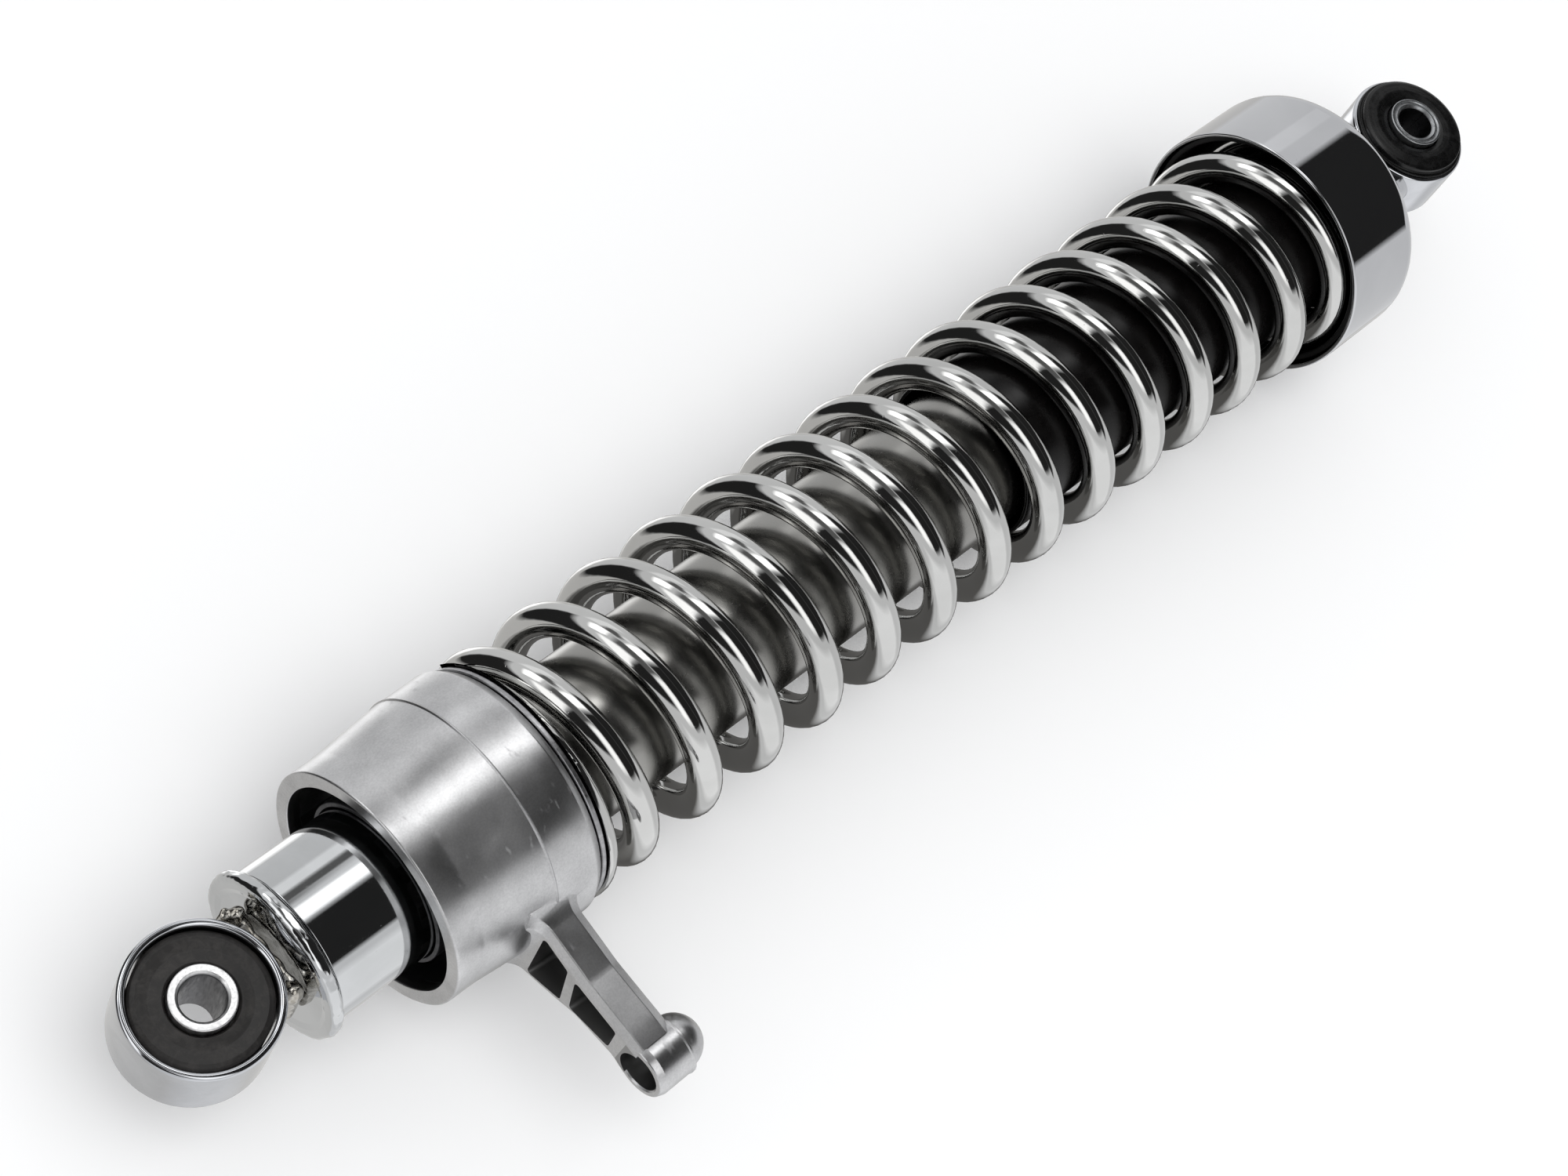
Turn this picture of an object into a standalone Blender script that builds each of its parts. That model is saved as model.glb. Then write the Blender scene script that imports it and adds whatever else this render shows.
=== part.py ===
"""Rear shock absorber for a light motorcycle, 340 mm between eye centres.

Row frame: the damper axis runs along X, both eye bores run along Z and the preload lever points along -Y.
The origin is the centre of the upper eye, and the lower eye is 340 mm away along -X.
Lengths below are in millimetres. Distances along X are stated from the lower eye, as a workshop drawing
would, and each mesh is moved to the row frame and turned into metres when it is made.
"""
import math

import bmesh
import bpy
from mathutils import Matrix, Vector

MM = 0.001
GAP = 0.3                      # space left between touching pieces
FINE = 40                      # steps round a large turned piece
MEDIUM = 28                    # steps round a middle-sized turned piece
SMALL = 20                     # steps round a small turned piece

# eyes
EYE_TO_EYE = 340.0
EYE_R = 13.9                   # outside of the lower eye ring
EYE_WALL = 1.5
EYE_HALF = 7.5                 # half the width of the lower eye ring
EYE_EDGE = 0.7
BORE_R = 4.0                   # for an 8 mm bolt
SLEEVE_R = 5.8
SLEEVE_HALF = 7.7
BORE_CHAMFER = 0.5
UPPER_EYE_R = 13.6
UPPER_EYE_HALF = 6.6
UPPER_SLEEVE_R = 6.1
UPPER_SLEEVE_HALF = 10.1
UPPER_FLANGE_R = 13.2          # rubber flange that covers the end of the upper ring
UPPER_FLANGE_T = 1.7
UPPER_BOSS_R = 9.0
UPPER_BOSS_FLAT = 6.3         # the neck is flattened to this half-width along Z
UPPER_BOSS_X0 = 314.6
UPPER_BOSS_X1 = 334.0

# welded bottom
WELD_X0 = 8.0
WELD_X1 = 15.0
WELD_HALF_Y = 9.0
WELD_HALF_Z = 6.2
CAP_FACE_X = 15.3
BEAD_R = 16.5
BEAD_T = 2.6

# damper
TUBE_R = 15.1
TUBE_WALL = 1.4
TUBE_X0 = 18.4
TUBE_X1 = 209.0
CYL_R_OUT = 10.7
CYL_R_IN = 9.5
CYL_X0 = 26.4
CYL_X1 = 194.0
ROD_R = 5.0
ROD_THREAD_R = 3.8
ROD_X1 = 323.0
PISTON_X0 = 165.0
PISTON_X1 = 177.0
PISTON_R = 9.2
RING_R = 9.4
PORT_R = 1.1
PORT_COUNT = 4
PORT_START_DEG = 13.0
PISTON_PORT_CIRCLE_R = 6.0
VALVE_PORT_CIRCLE_R = 5.6
GUIDE_X0 = 191.0
GUIDE_X1 = 200.0
SEAL_X1 = 205.0
FOOT_X = 21.4                  # lower face of the foot valve
FOOT_R = 13.2
PLUG_X = 21.0                  # end of the bottom cap's plug inside the tube
ROD_X0 = 157.0
GROOVE_X0 = 169.0              # groove for the piston ring
GROOVE_X1 = 173.0
GROOVE_DEEP = 1.6
SHIM_X0 = 162.3
SHIM_STEP = 0.8
SHIM_RADII = (5.4, 6.6, 7.6)
PISTON_NUT_X0 = 157.6
PISTON_NUT_X1 = 162.0
PISTON_NUT_FLAT_R = 6.2
BUMPER_X0 = 177.6
BUMPER_R = 8.6

# preload adjuster
ADJ_X0 = 36.2
ADJ_X1 = 68.6
ADJ_STEPS = 48
ADJ_PROFILE = ((36.2, 22.4), (36.5, 23.1), (37.4, 23.5), (42.0, 23.7), (48.0, 24.2),
               (54.0, 24.8), (56.9, 25.1), (57.4, 25.4), (58.0, 25.4), (58.5, 25.1),
               (62.0, 25.1), (66.8, 25.3), (68.1, 25.0), (68.6, 24.2))
ADJ_MOUTH_R = 20.6
ADJ_INNER_R = 20.9
ADJ_WEB_X = 61.5
ADJ_BORE_R = 15.9
CAM_R = 18.4
CAM_REST_X = 52.4              # cam face over a lug at rest, on the highest preload
CAM_RISE_PER_DEG = 0.06
CAM_RAMP_LOW = -15.0
CAM_RAMP_HIGH = 120.0
CAM_LAND_X = 49.6
LUG_ANGLES = (90.0, 270.0)
LUG_HALF_DEG = 7.0
LUG_R0 = 15.4
LUG_R1 = 18.1
LUG_BAND_X0 = 38.4
LUG_BAND_X1 = 43.2
LUG_BAND_T = 0.9
LUG_X0 = 40.2

# preload lever, cast with the adjuster, pointing along -Y
ARM_X0 = 53.0
ARM_X1 = 61.2
ARM_ROOT_R = 22.6
ARM_TOP = ((-24.5, 9.2), (-37.0, 6.8), (-51.0, 5.8))           # (y, z) of foot, knee and end
ARM_BOTTOM = ((-24.5, -10.4), (-38.5, -4.6), (-51.0, -3.6))
POCKET_DEPTH = 5.5
POCKET_RIM_TOP = 2.6
POCKET_RIM_BOTTOM = 1.5
POCKET_Y0 = -26.6
POCKET_RIB_Y = -35.0
POCKET_RIB = 1.1
POCKET_Y1 = -46.0
POCKET_LEAN = 0.9
BOSS_Y = -53.2
BOSS_R = 5.8
BOSS_X0 = 53.3
BOSS_X1 = 61.6
BOSS_BORE_R = 4.1
BOSS_BORE_DEEP = 7.5
DOME_R = 5.4

# spring and its seats
WIRE_R = 3.2
COIL_R = 21.6
PITCH = 15.9
CLOSED_PITCH = 6.9             # rise of an end turn that lies against its neighbour
CLOSED_TURNS_LOW = 1.03
CLOSED_TURNS_HIGH = 1.0
GRIND = 2.3                    # depth from the seat face down to the wire centre at a ground tip
SEAT_X0 = 68.9
SEAT_X1 = 70.0
SPRING_X0 = 70.3
SPRING_X1 = 304.0
SPRING_PHASE_DEG = 20.0
WIRE_SIDES = 8
STEPS_PER_TURN = 16

# top cap
CAP_R = 28.05
CAP_WALL = 0.9
CAP_X0 = 285.1
CAP_SHOULDER_X = 304.2
CAP_X1 = 308.2
CAP_TOP_T = 1.4
LINER_R_OUT = 26.8
LINER_R_IN = 25.5
LINER_X0 = 286.6
LINER_TOP_X0 = 304.9
LINER_TOP_X1 = 306.4
COVER_R = 17.6
COVER_WALL = 0.8
COVER_X0 = 190.5
COVER_X1 = 304.5
BUMP_X0 = 285.7
BUMP_X1 = 302.9
BUMP_WAIST_R = 9.6
BUMP_BULGE_R = 11.4
NUT_X0 = 308.5
NUT_X1 = 314.2
NUT_FLAT_R = 8.0
CUT_HALF = 12.0                # half length of the bars that cut an eye or its saddle
X_TO_Z = Matrix(((0, 1, 0), (0, 0, 1), (1, 0, 0))).to_4x4()


def clear_scene():
    for old in list(bpy.data.objects):
        bpy.data.objects.remove(old, do_unlink=True)


def material(name, colour, roughness, metallic):
    mat = bpy.data.materials.new(name)
    mat.use_nodes = True
    shader = mat.node_tree.nodes["Principled BSDF"]
    shader.inputs["Base Color"].default_value = (*colour, 1.0)
    shader.inputs["Roughness"].default_value = roughness
    shader.inputs["Metallic"].default_value = metallic
    mat.diffuse_color = (*colour, 1.0)
    return mat


def in_row(point):
    """A point measured from the lower eye in millimetres, as metres from the upper eye."""
    return (Vector(point) - Vector((EYE_TO_EYE, 0.0, 0.0))) * MM


def finish_mesh(name, bm, mat, origin, smooth=True):
    """Turn a bmesh in millimetres into an object in metres with its origin at a point on the axis."""
    bmesh.ops.remove_doubles(bm, verts=bm.verts, dist=0.0005)
    bmesh.ops.recalc_face_normals(bm, faces=bm.faces)
    bmesh.ops.translate(bm, verts=bm.verts, vec=-Vector(origin))
    bmesh.ops.scale(bm, verts=bm.verts, vec=(MM, MM, MM))
    mesh = bpy.data.meshes.new(name)
    bm.to_mesh(mesh)
    bm.free()
    obj = bpy.data.objects.new(name, mesh)
    bpy.context.scene.collection.objects.link(obj)
    obj.location = in_row(origin)
    if mat is not None:
        mesh.materials.append(mat)
    if smooth:
        shade_by_angle(mesh)
    return obj


def shade_by_angle(mesh, limit_deg=32.0):
    """Smooth faces, with the edges sharper than the limit kept crisp."""
    limit = math.radians(limit_deg)
    bm = bmesh.new()
    bm.from_mesh(mesh)
    for face in bm.faces:
        face.smooth = True
    for edge in bm.edges:
        if len(edge.link_faces) == 2:
            edge.smooth = edge.calc_face_angle(0.0) < limit
    bm.to_mesh(mesh)
    bm.free()


def turned(profile, steps, centre=(0.0, 0.0), closed=True):
    """Sweep an (along, radius) outline round X; profile may be a function of the angle in degrees.

    A closed outline makes a ring. An open one starts and ends on the axis and makes a solid.
    """
    outline = profile if callable(profile) else (lambda angle: profile)
    count = len(outline(0.0))
    bm = bmesh.new()
    rows = []
    poles = {}
    for step in range(steps):
        angle = 360.0 * step / steps
        c = math.cos(math.radians(angle))
        s = math.sin(math.radians(angle))
        row = []
        for index, (along, radius) in enumerate(outline(angle)):
            if radius < 1e-6:
                if index not in poles:
                    poles[index] = bm.verts.new((along, centre[0], centre[1]))
                row.append(poles[index])
            else:
                row.append(bm.verts.new((along, centre[0] + radius * c, centre[1] + radius * s)))
        rows.append(row)
    spans = count if closed else count - 1
    for step in range(steps):
        here = rows[step]
        there = rows[(step + 1) % steps]
        for index in range(spans):
            nxt = (index + 1) % count
            corners = []
            for vert in (here[index], here[nxt], there[nxt], there[index]):
                if vert not in corners:
                    corners.append(vert)
            if len(corners) > 2:
                bm.faces.new(corners)
    return bm


def turned_about_z(profile, steps, x, closed=True):
    """The same sweep round an eye axis: along becomes Z, and the centre is at x."""
    bm = turned(profile, steps, closed=closed)
    bmesh.ops.transform(bm, matrix=X_TO_Z, verts=bm.verts)
    bmesh.ops.translate(bm, verts=bm.verts, vec=(x, 0.0, 0.0))
    return bm


def cross_bar(radius, steps, x):
    """A plain bar along Z, used to cut the bore of an eye or the saddle under it."""
    outline = [(-CUT_HALF, 0.0), (-CUT_HALF, radius), (CUT_HALF, radius), (CUT_HALF, 0.0)]
    return turned_about_z(outline, steps, x, closed=False)


def prism(outline, x0, x1):
    """Extrude a (y, z) outline from x0 to x1."""
    bm = bmesh.new()
    low = [bm.verts.new((x0, y, z)) for y, z in outline]
    high = [bm.verts.new((x1, y, z)) for y, z in outline]
    bm.faces.new(low)
    bm.faces.new(high)
    count = len(outline)
    for index in range(count):
        nxt = (index + 1) % count
        bm.faces.new((low[index], low[nxt], high[nxt], high[index]))
    return bm


def rod_about_x(x0, x1, radius, y, z, steps):
    """A plain round bar used as a cutter or a boss."""
    return turned([(x0, 0.0), (x0, radius), (x1, radius), (x1, 0.0)], steps, (y, z), closed=False)


def join_or_cut(target, bm, operation):
    """Apply one exact Boolean with a temporary tool body."""
    tool = finish_mesh(target.name + "_tool", bm, None, (0.0, 0.0, 0.0), smooth=False)
    tool.hide_render = True
    tool.display_type = "WIRE"
    step = target.modifiers.new("cut", "BOOLEAN")
    step.operation = operation
    step.solver = "EXACT"
    step.object = tool
    depsgraph = bpy.context.evaluated_depsgraph_get()
    result = bpy.data.meshes.new_from_object(target.evaluated_get(depsgraph))
    target.modifiers.remove(step)
    old = target.data
    target.data = result
    result.name = target.name
    bpy.data.meshes.remove(old)
    bpy.data.objects.remove(tool, do_unlink=True)


def weld_close(target):
    """Merge stray doubles left by a Boolean and shade the result."""
    bm = bmesh.new()
    bm.from_mesh(target.data)
    bmesh.ops.remove_doubles(bm, verts=bm.verts, dist=0.000002)
    bmesh.ops.dissolve_degenerate(bm, edges=bm.edges, dist=0.000002)
    bmesh.ops.recalc_face_normals(bm, faces=bm.faces)
    bm.to_mesh(target.data)
    bm.free()
    shade_by_angle(target.data)


def ring_outline(x0, x1, r_in, r_out, edge=0.0, inner_edge=0.0):
    """Outline of a plain ring with optional corner chamfers."""
    points = []
    for along, radius, cut, side in ((x0, r_out, edge, 1), (x1, r_out, edge, -1),
                                     (x1, r_in, inner_edge, -1), (x0, r_in, inner_edge, 1)):
        if cut <= 0.0:
            points.append((along, radius))
            continue
        inward = -cut if radius == r_out else cut
        on_face = (along, radius + inward)
        on_wall = (along + side * cut, radius)
        starts_on_face = (side == 1) == (radius == r_out)
        points.extend((on_face, on_wall) if starts_on_face else (on_wall, on_face))
    return points


def ring(name, mat, x0, x1, r_in, r_out, steps, edge=0.0, inner_edge=0.0):
    bm = turned(ring_outline(x0, x1, r_in, r_out, edge, inner_edge), steps)
    return finish_mesh(name, bm, mat, (x0, 0.0, 0.0))


def arc(x, r, radius, start_deg, end_deg, count):
    """Points on a quarter bend of an outline."""
    points = []
    for index in range(count + 1):
        angle = math.radians(start_deg + (end_deg - start_deg) * index / count)
        points.append((x + radius * math.cos(angle), r + radius * math.sin(angle)))
    return points


def parent_to(empty, pieces):
    for piece in pieces:
        piece.parent = empty
        piece.matrix_parent_inverse = empty.matrix_world.inverted()


def rig_empty(name, x, parent=None):
    empty = bpy.data.objects.new(name, None)
    empty.location = in_row((x, 0.0, 0.0))
    bpy.context.scene.collection.objects.link(empty)
    bpy.context.view_layer.update()
    if parent is not None:
        parent_to(parent, [empty])
        bpy.context.view_layer.update()
    return empty


def eye_sleeve(name, mat, x, radius, half):
    outline = ring_outline(-half, half, BORE_R, radius, 0.3, BORE_CHAMFER)
    return finish_mesh(name, turned_about_z(outline, SMALL, x), mat, (x, 0.0, 0.0))


def make_lower_eye():
    outline = ring_outline(-EYE_HALF, EYE_HALF, EYE_R - EYE_WALL, EYE_R, EYE_EDGE, 0.3)
    steel = material("lower_eye_chrome", (0.78, 0.79, 0.80), 0.10, 1.0)
    eye = finish_mesh("lower_eye", turned_about_z(outline, MEDIUM, 0.0), steel, (0.0, 0.0, 0.0))
    r_out = EYE_R - EYE_WALL - GAP
    r_in = SLEEVE_R + GAP
    face = EYE_HALF - 0.9
    outline = [(-face + 0.2, r_out), (face - 0.2, r_out), (face, r_out - 0.6), (face - 0.5, r_in + 2.0),
               (face, r_in + 0.5), (face, r_in), (-face, r_in), (-face, r_in + 0.5),
               (-face + 0.5, r_in + 2.0), (-face, r_out - 0.6)]
    rubber = material("lower_bush_rubber", (0.05, 0.048, 0.048), 0.55, 0.0)
    bush = finish_mesh("lower_eye_bush", turned_about_z(outline, MEDIUM, 0.0), rubber, (0.0, 0.0, 0.0))
    zinc = material("lower_sleeve_zinc", (0.80, 0.80, 0.80), 0.30, 1.0)
    sleeve = eye_sleeve("lower_eye_sleeve", zinc, 0.0, SLEEVE_R, SLEEVE_HALF)
    return eye, bush, sleeve


def make_upper_eye():
    x = EYE_TO_EYE
    chrome = material("upper_eye_chrome", (0.78, 0.79, 0.80), 0.12, 1.0)
    solid = [(-UPPER_EYE_HALF, 0.0), (-UPPER_EYE_HALF, UPPER_EYE_R - EYE_EDGE),
             (-UPPER_EYE_HALF + EYE_EDGE, UPPER_EYE_R), (UPPER_EYE_HALF - EYE_EDGE, UPPER_EYE_R),
             (UPPER_EYE_HALF, UPPER_EYE_R - EYE_EDGE), (UPPER_EYE_HALF, 0.0)]
    eye = finish_mesh("upper_eye", turned_about_z(solid, MEDIUM, x, closed=False), chrome, (x, 0.0, 0.0))
    neck = []
    for step in range(MEDIUM):
        angle = 2.0 * math.pi * (step + 0.5) / MEDIUM
        z = UPPER_BOSS_R * math.sin(angle)
        neck.append((UPPER_BOSS_R * math.cos(angle), min(max(z, -UPPER_BOSS_FLAT), UPPER_BOSS_FLAT)))
    join_or_cut(eye, prism(neck, UPPER_BOSS_X0, UPPER_BOSS_X1), "UNION")
    join_or_cut(eye, cross_bar(UPPER_EYE_R - EYE_WALL, MEDIUM, x), "DIFFERENCE")
    thread = rod_about_x(UPPER_BOSS_X0 - 2.0, UPPER_BOSS_X1, ROD_R + GAP, 0.0, 0.0, SMALL)
    join_or_cut(eye, thread, "DIFFERENCE")
    weld_close(eye)
    r_out = UPPER_EYE_R - EYE_WALL - GAP
    r_in = UPPER_SLEEVE_R + GAP
    low = UPPER_EYE_HALF + GAP
    high = low + UPPER_FLANGE_T
    side = [(low, r_out), (low, UPPER_FLANGE_R), (high - 0.7, UPPER_FLANGE_R), (high, UPPER_FLANGE_R - 0.7),
            (high + 0.5, r_in + 1.5), (high + 0.3, r_in)]
    outline = side + [(-along, radius) for along, radius in reversed(side)]
    rubber = material("upper_bush_rubber", (0.02, 0.02, 0.02), 0.35, 0.0)
    bush = finish_mesh("upper_eye_bush", turned_about_z(outline, MEDIUM, x), rubber, (x, 0.0, 0.0))
    zinc = material("upper_sleeve_zinc", (0.55, 0.56, 0.57), 0.35, 1.0)
    sleeve = eye_sleeve("upper_eye_sleeve", zinc, x, UPPER_SLEEVE_R, UPPER_SLEEVE_HALF)
    return eye, bush, sleeve


def make_bottom():
    """The welded foot: saddle weld under the eye and the beaded bottom cap."""
    weld_mat = material("lower_weld", (0.62, 0.60, 0.55), 0.35, 1.0)
    corner = 2.0
    flat_y = WELD_HALF_Y - corner
    flat_z = WELD_HALF_Z - corner
    outline = [(-flat_y, -WELD_HALF_Z), (flat_y, -WELD_HALF_Z), (WELD_HALF_Y, -flat_z), (WELD_HALF_Y, flat_z),
               (flat_y, WELD_HALF_Z), (-flat_y, WELD_HALF_Z), (-WELD_HALF_Y, flat_z), (-WELD_HALF_Y, -flat_z)]
    weld = finish_mesh("lower_eye_weld", prism(outline, WELD_X0, WELD_X1), weld_mat, (WELD_X1, 0.0, 0.0))
    join_or_cut(weld, cross_bar(EYE_R + GAP, FINE, 0.0), "DIFFERENCE")
    weld_close(weld)
    chrome = material("bottom_cap_chrome", (0.78, 0.79, 0.80), 0.12, 1.0)
    bead = BEAD_T * 0.5
    plug_r = TUBE_R - TUBE_WALL - GAP
    outline = [(CAP_FACE_X, 0.0), (CAP_FACE_X, BEAD_R - 3.6), (CAP_FACE_X + 0.3, BEAD_R - 2.8)]
    outline += arc(CAP_FACE_X + bead, BEAD_R - bead, bead, 180.0, 0.0, 8)
    outline += [(CAP_FACE_X + BEAD_T + 0.2, plug_r), (PLUG_X, plug_r), (PLUG_X, 0.0)]
    cap = finish_mesh("bottom_cap", turned(outline, FINE, closed=False), chrome, (CAP_FACE_X, 0.0, 0.0))
    return weld, cap


def make_damper():
    """The outer tube and the pieces that stay with it."""
    chrome = material("tube_chrome", (0.78, 0.79, 0.80), 0.10, 1.0)
    steel = material("bright_steel", (0.60, 0.61, 0.62), 0.30, 1.0)
    alloy = material("guide_alloy", (0.66, 0.66, 0.67), 0.40, 1.0)
    tube = ring("damper_tube", chrome, TUBE_X0, TUBE_X1, TUBE_R - TUBE_WALL, TUBE_R, FINE, 0.2)
    cylinder = ring("inner_cylinder", steel, CYL_X0, CYL_X1, CYL_R_IN, CYL_R_OUT, MEDIUM)
    valve_face = CYL_X0 - GAP
    spigot = CYL_R_IN - GAP
    spigot_end = valve_face + 4.0
    outline = [(FOOT_X, 0.0), (FOOT_X, FOOT_R - 0.6), (FOOT_X + 1.2, FOOT_R), (valve_face, FOOT_R),
               (valve_face, spigot), (spigot_end, spigot), (spigot_end, 0.0)]
    valve_steel = material("foot_valve_steel", (0.50, 0.50, 0.52), 0.38, 1.0)
    valve = finish_mesh("foot_valve", turned(outline, MEDIUM, closed=False), valve_steel, (FOOT_X, 0.0, 0.0))
    drill_ports(valve, FOOT_X - 3.0, spigot_end + 3.0, VALVE_PORT_CIRCLE_R)
    bush_r = ROD_R + 1.2
    wall = TUBE_R - TUBE_WALL - GAP
    outline = [(GUIDE_X0, bush_r + GAP), (GUIDE_X0, spigot), (CYL_X1 + GAP, spigot), (CYL_X1 + GAP, wall),
               (GUIDE_X1, wall), (GUIDE_X1, bush_r + GAP)]
    guide = finish_mesh("rod_guide", turned(outline, MEDIUM), alloy, (GUIDE_X0, 0.0, 0.0))
    bronze = material("rod_bush_bronze", (0.60, 0.42, 0.22), 0.35, 1.0)
    bush = ring("rod_bush", bronze, GUIDE_X0 + 0.4, GUIDE_X1 - 0.4, ROD_R + 0.1, bush_r, SMALL)
    nitrile = material("seal_rubber", (0.03, 0.03, 0.032), 0.5, 0.0)
    seal = ring("oil_seal", nitrile, GUIDE_X1 + GAP, SEAL_X1, ROD_R + 0.1, wall - 0.2, MEDIUM)
    black = material("gland_steel", (0.12, 0.12, 0.125), 0.45, 0.8)
    gland = ring("gland_ring", black, SEAL_X1 + GAP, TUBE_X1 - 0.6, ROD_R + 0.8, wall, MEDIUM, 0.0, 0.5)
    return tube, cylinder, valve, guide, bush, seal, gland


def drill_ports(piece, x0, x1, circle_r):
    for index in range(PORT_COUNT):
        angle = math.radians(PORT_START_DEG) + 2.0 * math.pi * index / PORT_COUNT
        y = circle_r * math.cos(angle)
        z = circle_r * math.sin(angle)
        join_or_cut(piece, rod_about_x(x0, x1, PORT_R, y, z, 12), "DIFFERENCE")
    weld_close(piece)


def cam_face(angle):
    """Distance along X of the cam face at an angle about the axis, at rest."""
    half_turn = 180.0
    offset = (angle - LUG_ANGLES[0] - CAM_RAMP_LOW) % half_turn + CAM_RAMP_LOW
    if offset <= CAM_RAMP_HIGH:
        return CAM_REST_X + CAM_RISE_PER_DEG * offset
    return CAM_LAND_X


def lug_face(angle, centre):
    offset = (angle - centre + 180.0) % 360.0 - 180.0
    return CAM_REST_X - GAP + CAM_RISE_PER_DEG * offset


def make_cam_lugs():
    """A band pressed on the tube that carries two stout lugs under the adjuster's ramps."""
    steel = material("lug_steel", (0.42, 0.42, 0.43), 0.42, 1.0)
    band = ring_outline(LUG_BAND_X0, LUG_BAND_X1, LUG_R0, LUG_R0 + LUG_BAND_T, 0.2)
    lugs = finish_mesh("cam_lugs", turned(band, FINE), steel, (LUG_BAND_X0, 0.0, 0.0))
    for centre in LUG_ANGLES:
        bm = bmesh.new()
        steps = 6
        inner = LUG_R0 + 0.15
        loops = []
        for step in range(steps + 1):
            angle = centre - LUG_HALF_DEG + 2.0 * LUG_HALF_DEG * step / steps
            c = math.cos(math.radians(angle))
            s = math.sin(math.radians(angle))
            top = lug_face(angle, centre)
            corners = ((LUG_X0, inner), (LUG_X0, LUG_R1), (top, LUG_R1), (top, inner))
            loops.append([bm.verts.new((x, r * c, r * s)) for x, r in corners])
        for here, there in zip(loops, loops[1:]):
            for index in range(4):
                nxt = (index + 1) % 4
                bm.faces.new((here[index], here[nxt], there[nxt], there[index]))
        bm.faces.new(loops[0])
        bm.faces.new(loops[-1])
        join_or_cut(lugs, bm, "UNION")
    weld_close(lugs)
    return lugs


def arm_outline():
    """Side view of the lever arm: a root buried in the ring wall, a knee, then the boss."""
    root = []
    steps = 6
    foot_top = ARM_TOP[0][1]
    foot_bottom = ARM_BOTTOM[0][1]
    for step in range(steps + 1):
        z = foot_top + (foot_bottom - foot_top) * step / steps
        root.append((-math.sqrt(ARM_ROOT_R ** 2 - z ** 2), z))
    return root + list(ARM_BOTTOM) + list(reversed(ARM_TOP))


def edge_height(edge, y):
    """Height of the arm's top or bottom edge at y."""
    for (y0, z0), (y1, z1) in zip(edge, edge[1:]):
        if y1 <= y <= y0:
            return z0 + (z1 - z0) * (y - y0) / (y1 - y0)
    return edge[0][1]


def pocket_outline(y0, y1, lean0, lean1):
    """One hollow in the arm's side; the lean slants the ends that face the diagonal rib."""
    top0, top1 = (edge_height(ARM_TOP, y) - POCKET_RIM_TOP for y in (y0, y1))
    bottom0, bottom1 = (edge_height(ARM_BOTTOM, y) + POCKET_RIM_BOTTOM for y in (y0, y1))
    return [(y0 + lean0, top0), (y1 + lean1, top1), (y1 - lean1, bottom1), (y0 - lean0, bottom0)]


def make_adjuster():
    cast = material("cast_aluminium", (0.56, 0.56, 0.57), 0.32, 1.0)

    def section(angle):
        face = cam_face(angle)
        inner = [(ADJ_X1, ADJ_BORE_R), (face, ADJ_BORE_R), (face, CAM_R), (ADJ_WEB_X, CAM_R),
                 (ADJ_WEB_X, ADJ_INNER_R), (ADJ_X0 + 3.0, ADJ_INNER_R), (ADJ_X0 + 1.5, ADJ_MOUTH_R),
                 (ADJ_X0, ADJ_MOUTH_R)]
        return list(ADJ_PROFILE) + inner

    adjuster = finish_mesh("preload_adjuster", turned(section, ADJ_STEPS), cast, (ADJ_X0, 0.0, 0.0))
    join_or_cut(adjuster, prism(arm_outline(), ARM_X0, ARM_X1), "UNION")
    boss = [(BOSS_X0, 0.0), (BOSS_X0, BOSS_R - 0.5), (BOSS_X0 + 0.5, BOSS_R), (BOSS_X1, BOSS_R),
            (BOSS_X1, DOME_R)]
    boss += arc(BOSS_X1, 0.0, DOME_R, 78.0, 12.0, 5) + [(BOSS_X1 + DOME_R, 0.0)]
    join_or_cut(adjuster, turned(boss, SMALL, (BOSS_Y, 0.0), closed=False), "UNION")
    first = pocket_outline(POCKET_Y0, POCKET_RIB_Y + POCKET_RIB, 0.0, POCKET_LEAN)
    second = pocket_outline(POCKET_RIB_Y - POCKET_RIB, POCKET_Y1, POCKET_LEAN, 0.0)
    for outline in (first, second):
        join_or_cut(adjuster, prism(outline, ARM_X0 - 3.0, ARM_X0 + POCKET_DEPTH), "DIFFERENCE")
    bore_end = BOSS_X0 + BOSS_BORE_DEEP
    bore_start = BOSS_X0 - 2.0
    bore = [(bore_start, 0.0), (bore_start, BOSS_BORE_R), (bore_end - 0.8, BOSS_BORE_R), (bore_end, 0.0)]
    join_or_cut(adjuster, turned(bore, SMALL, (BOSS_Y, 0.0), closed=False), "DIFFERENCE")
    weld_close(adjuster)
    return adjuster


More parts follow.
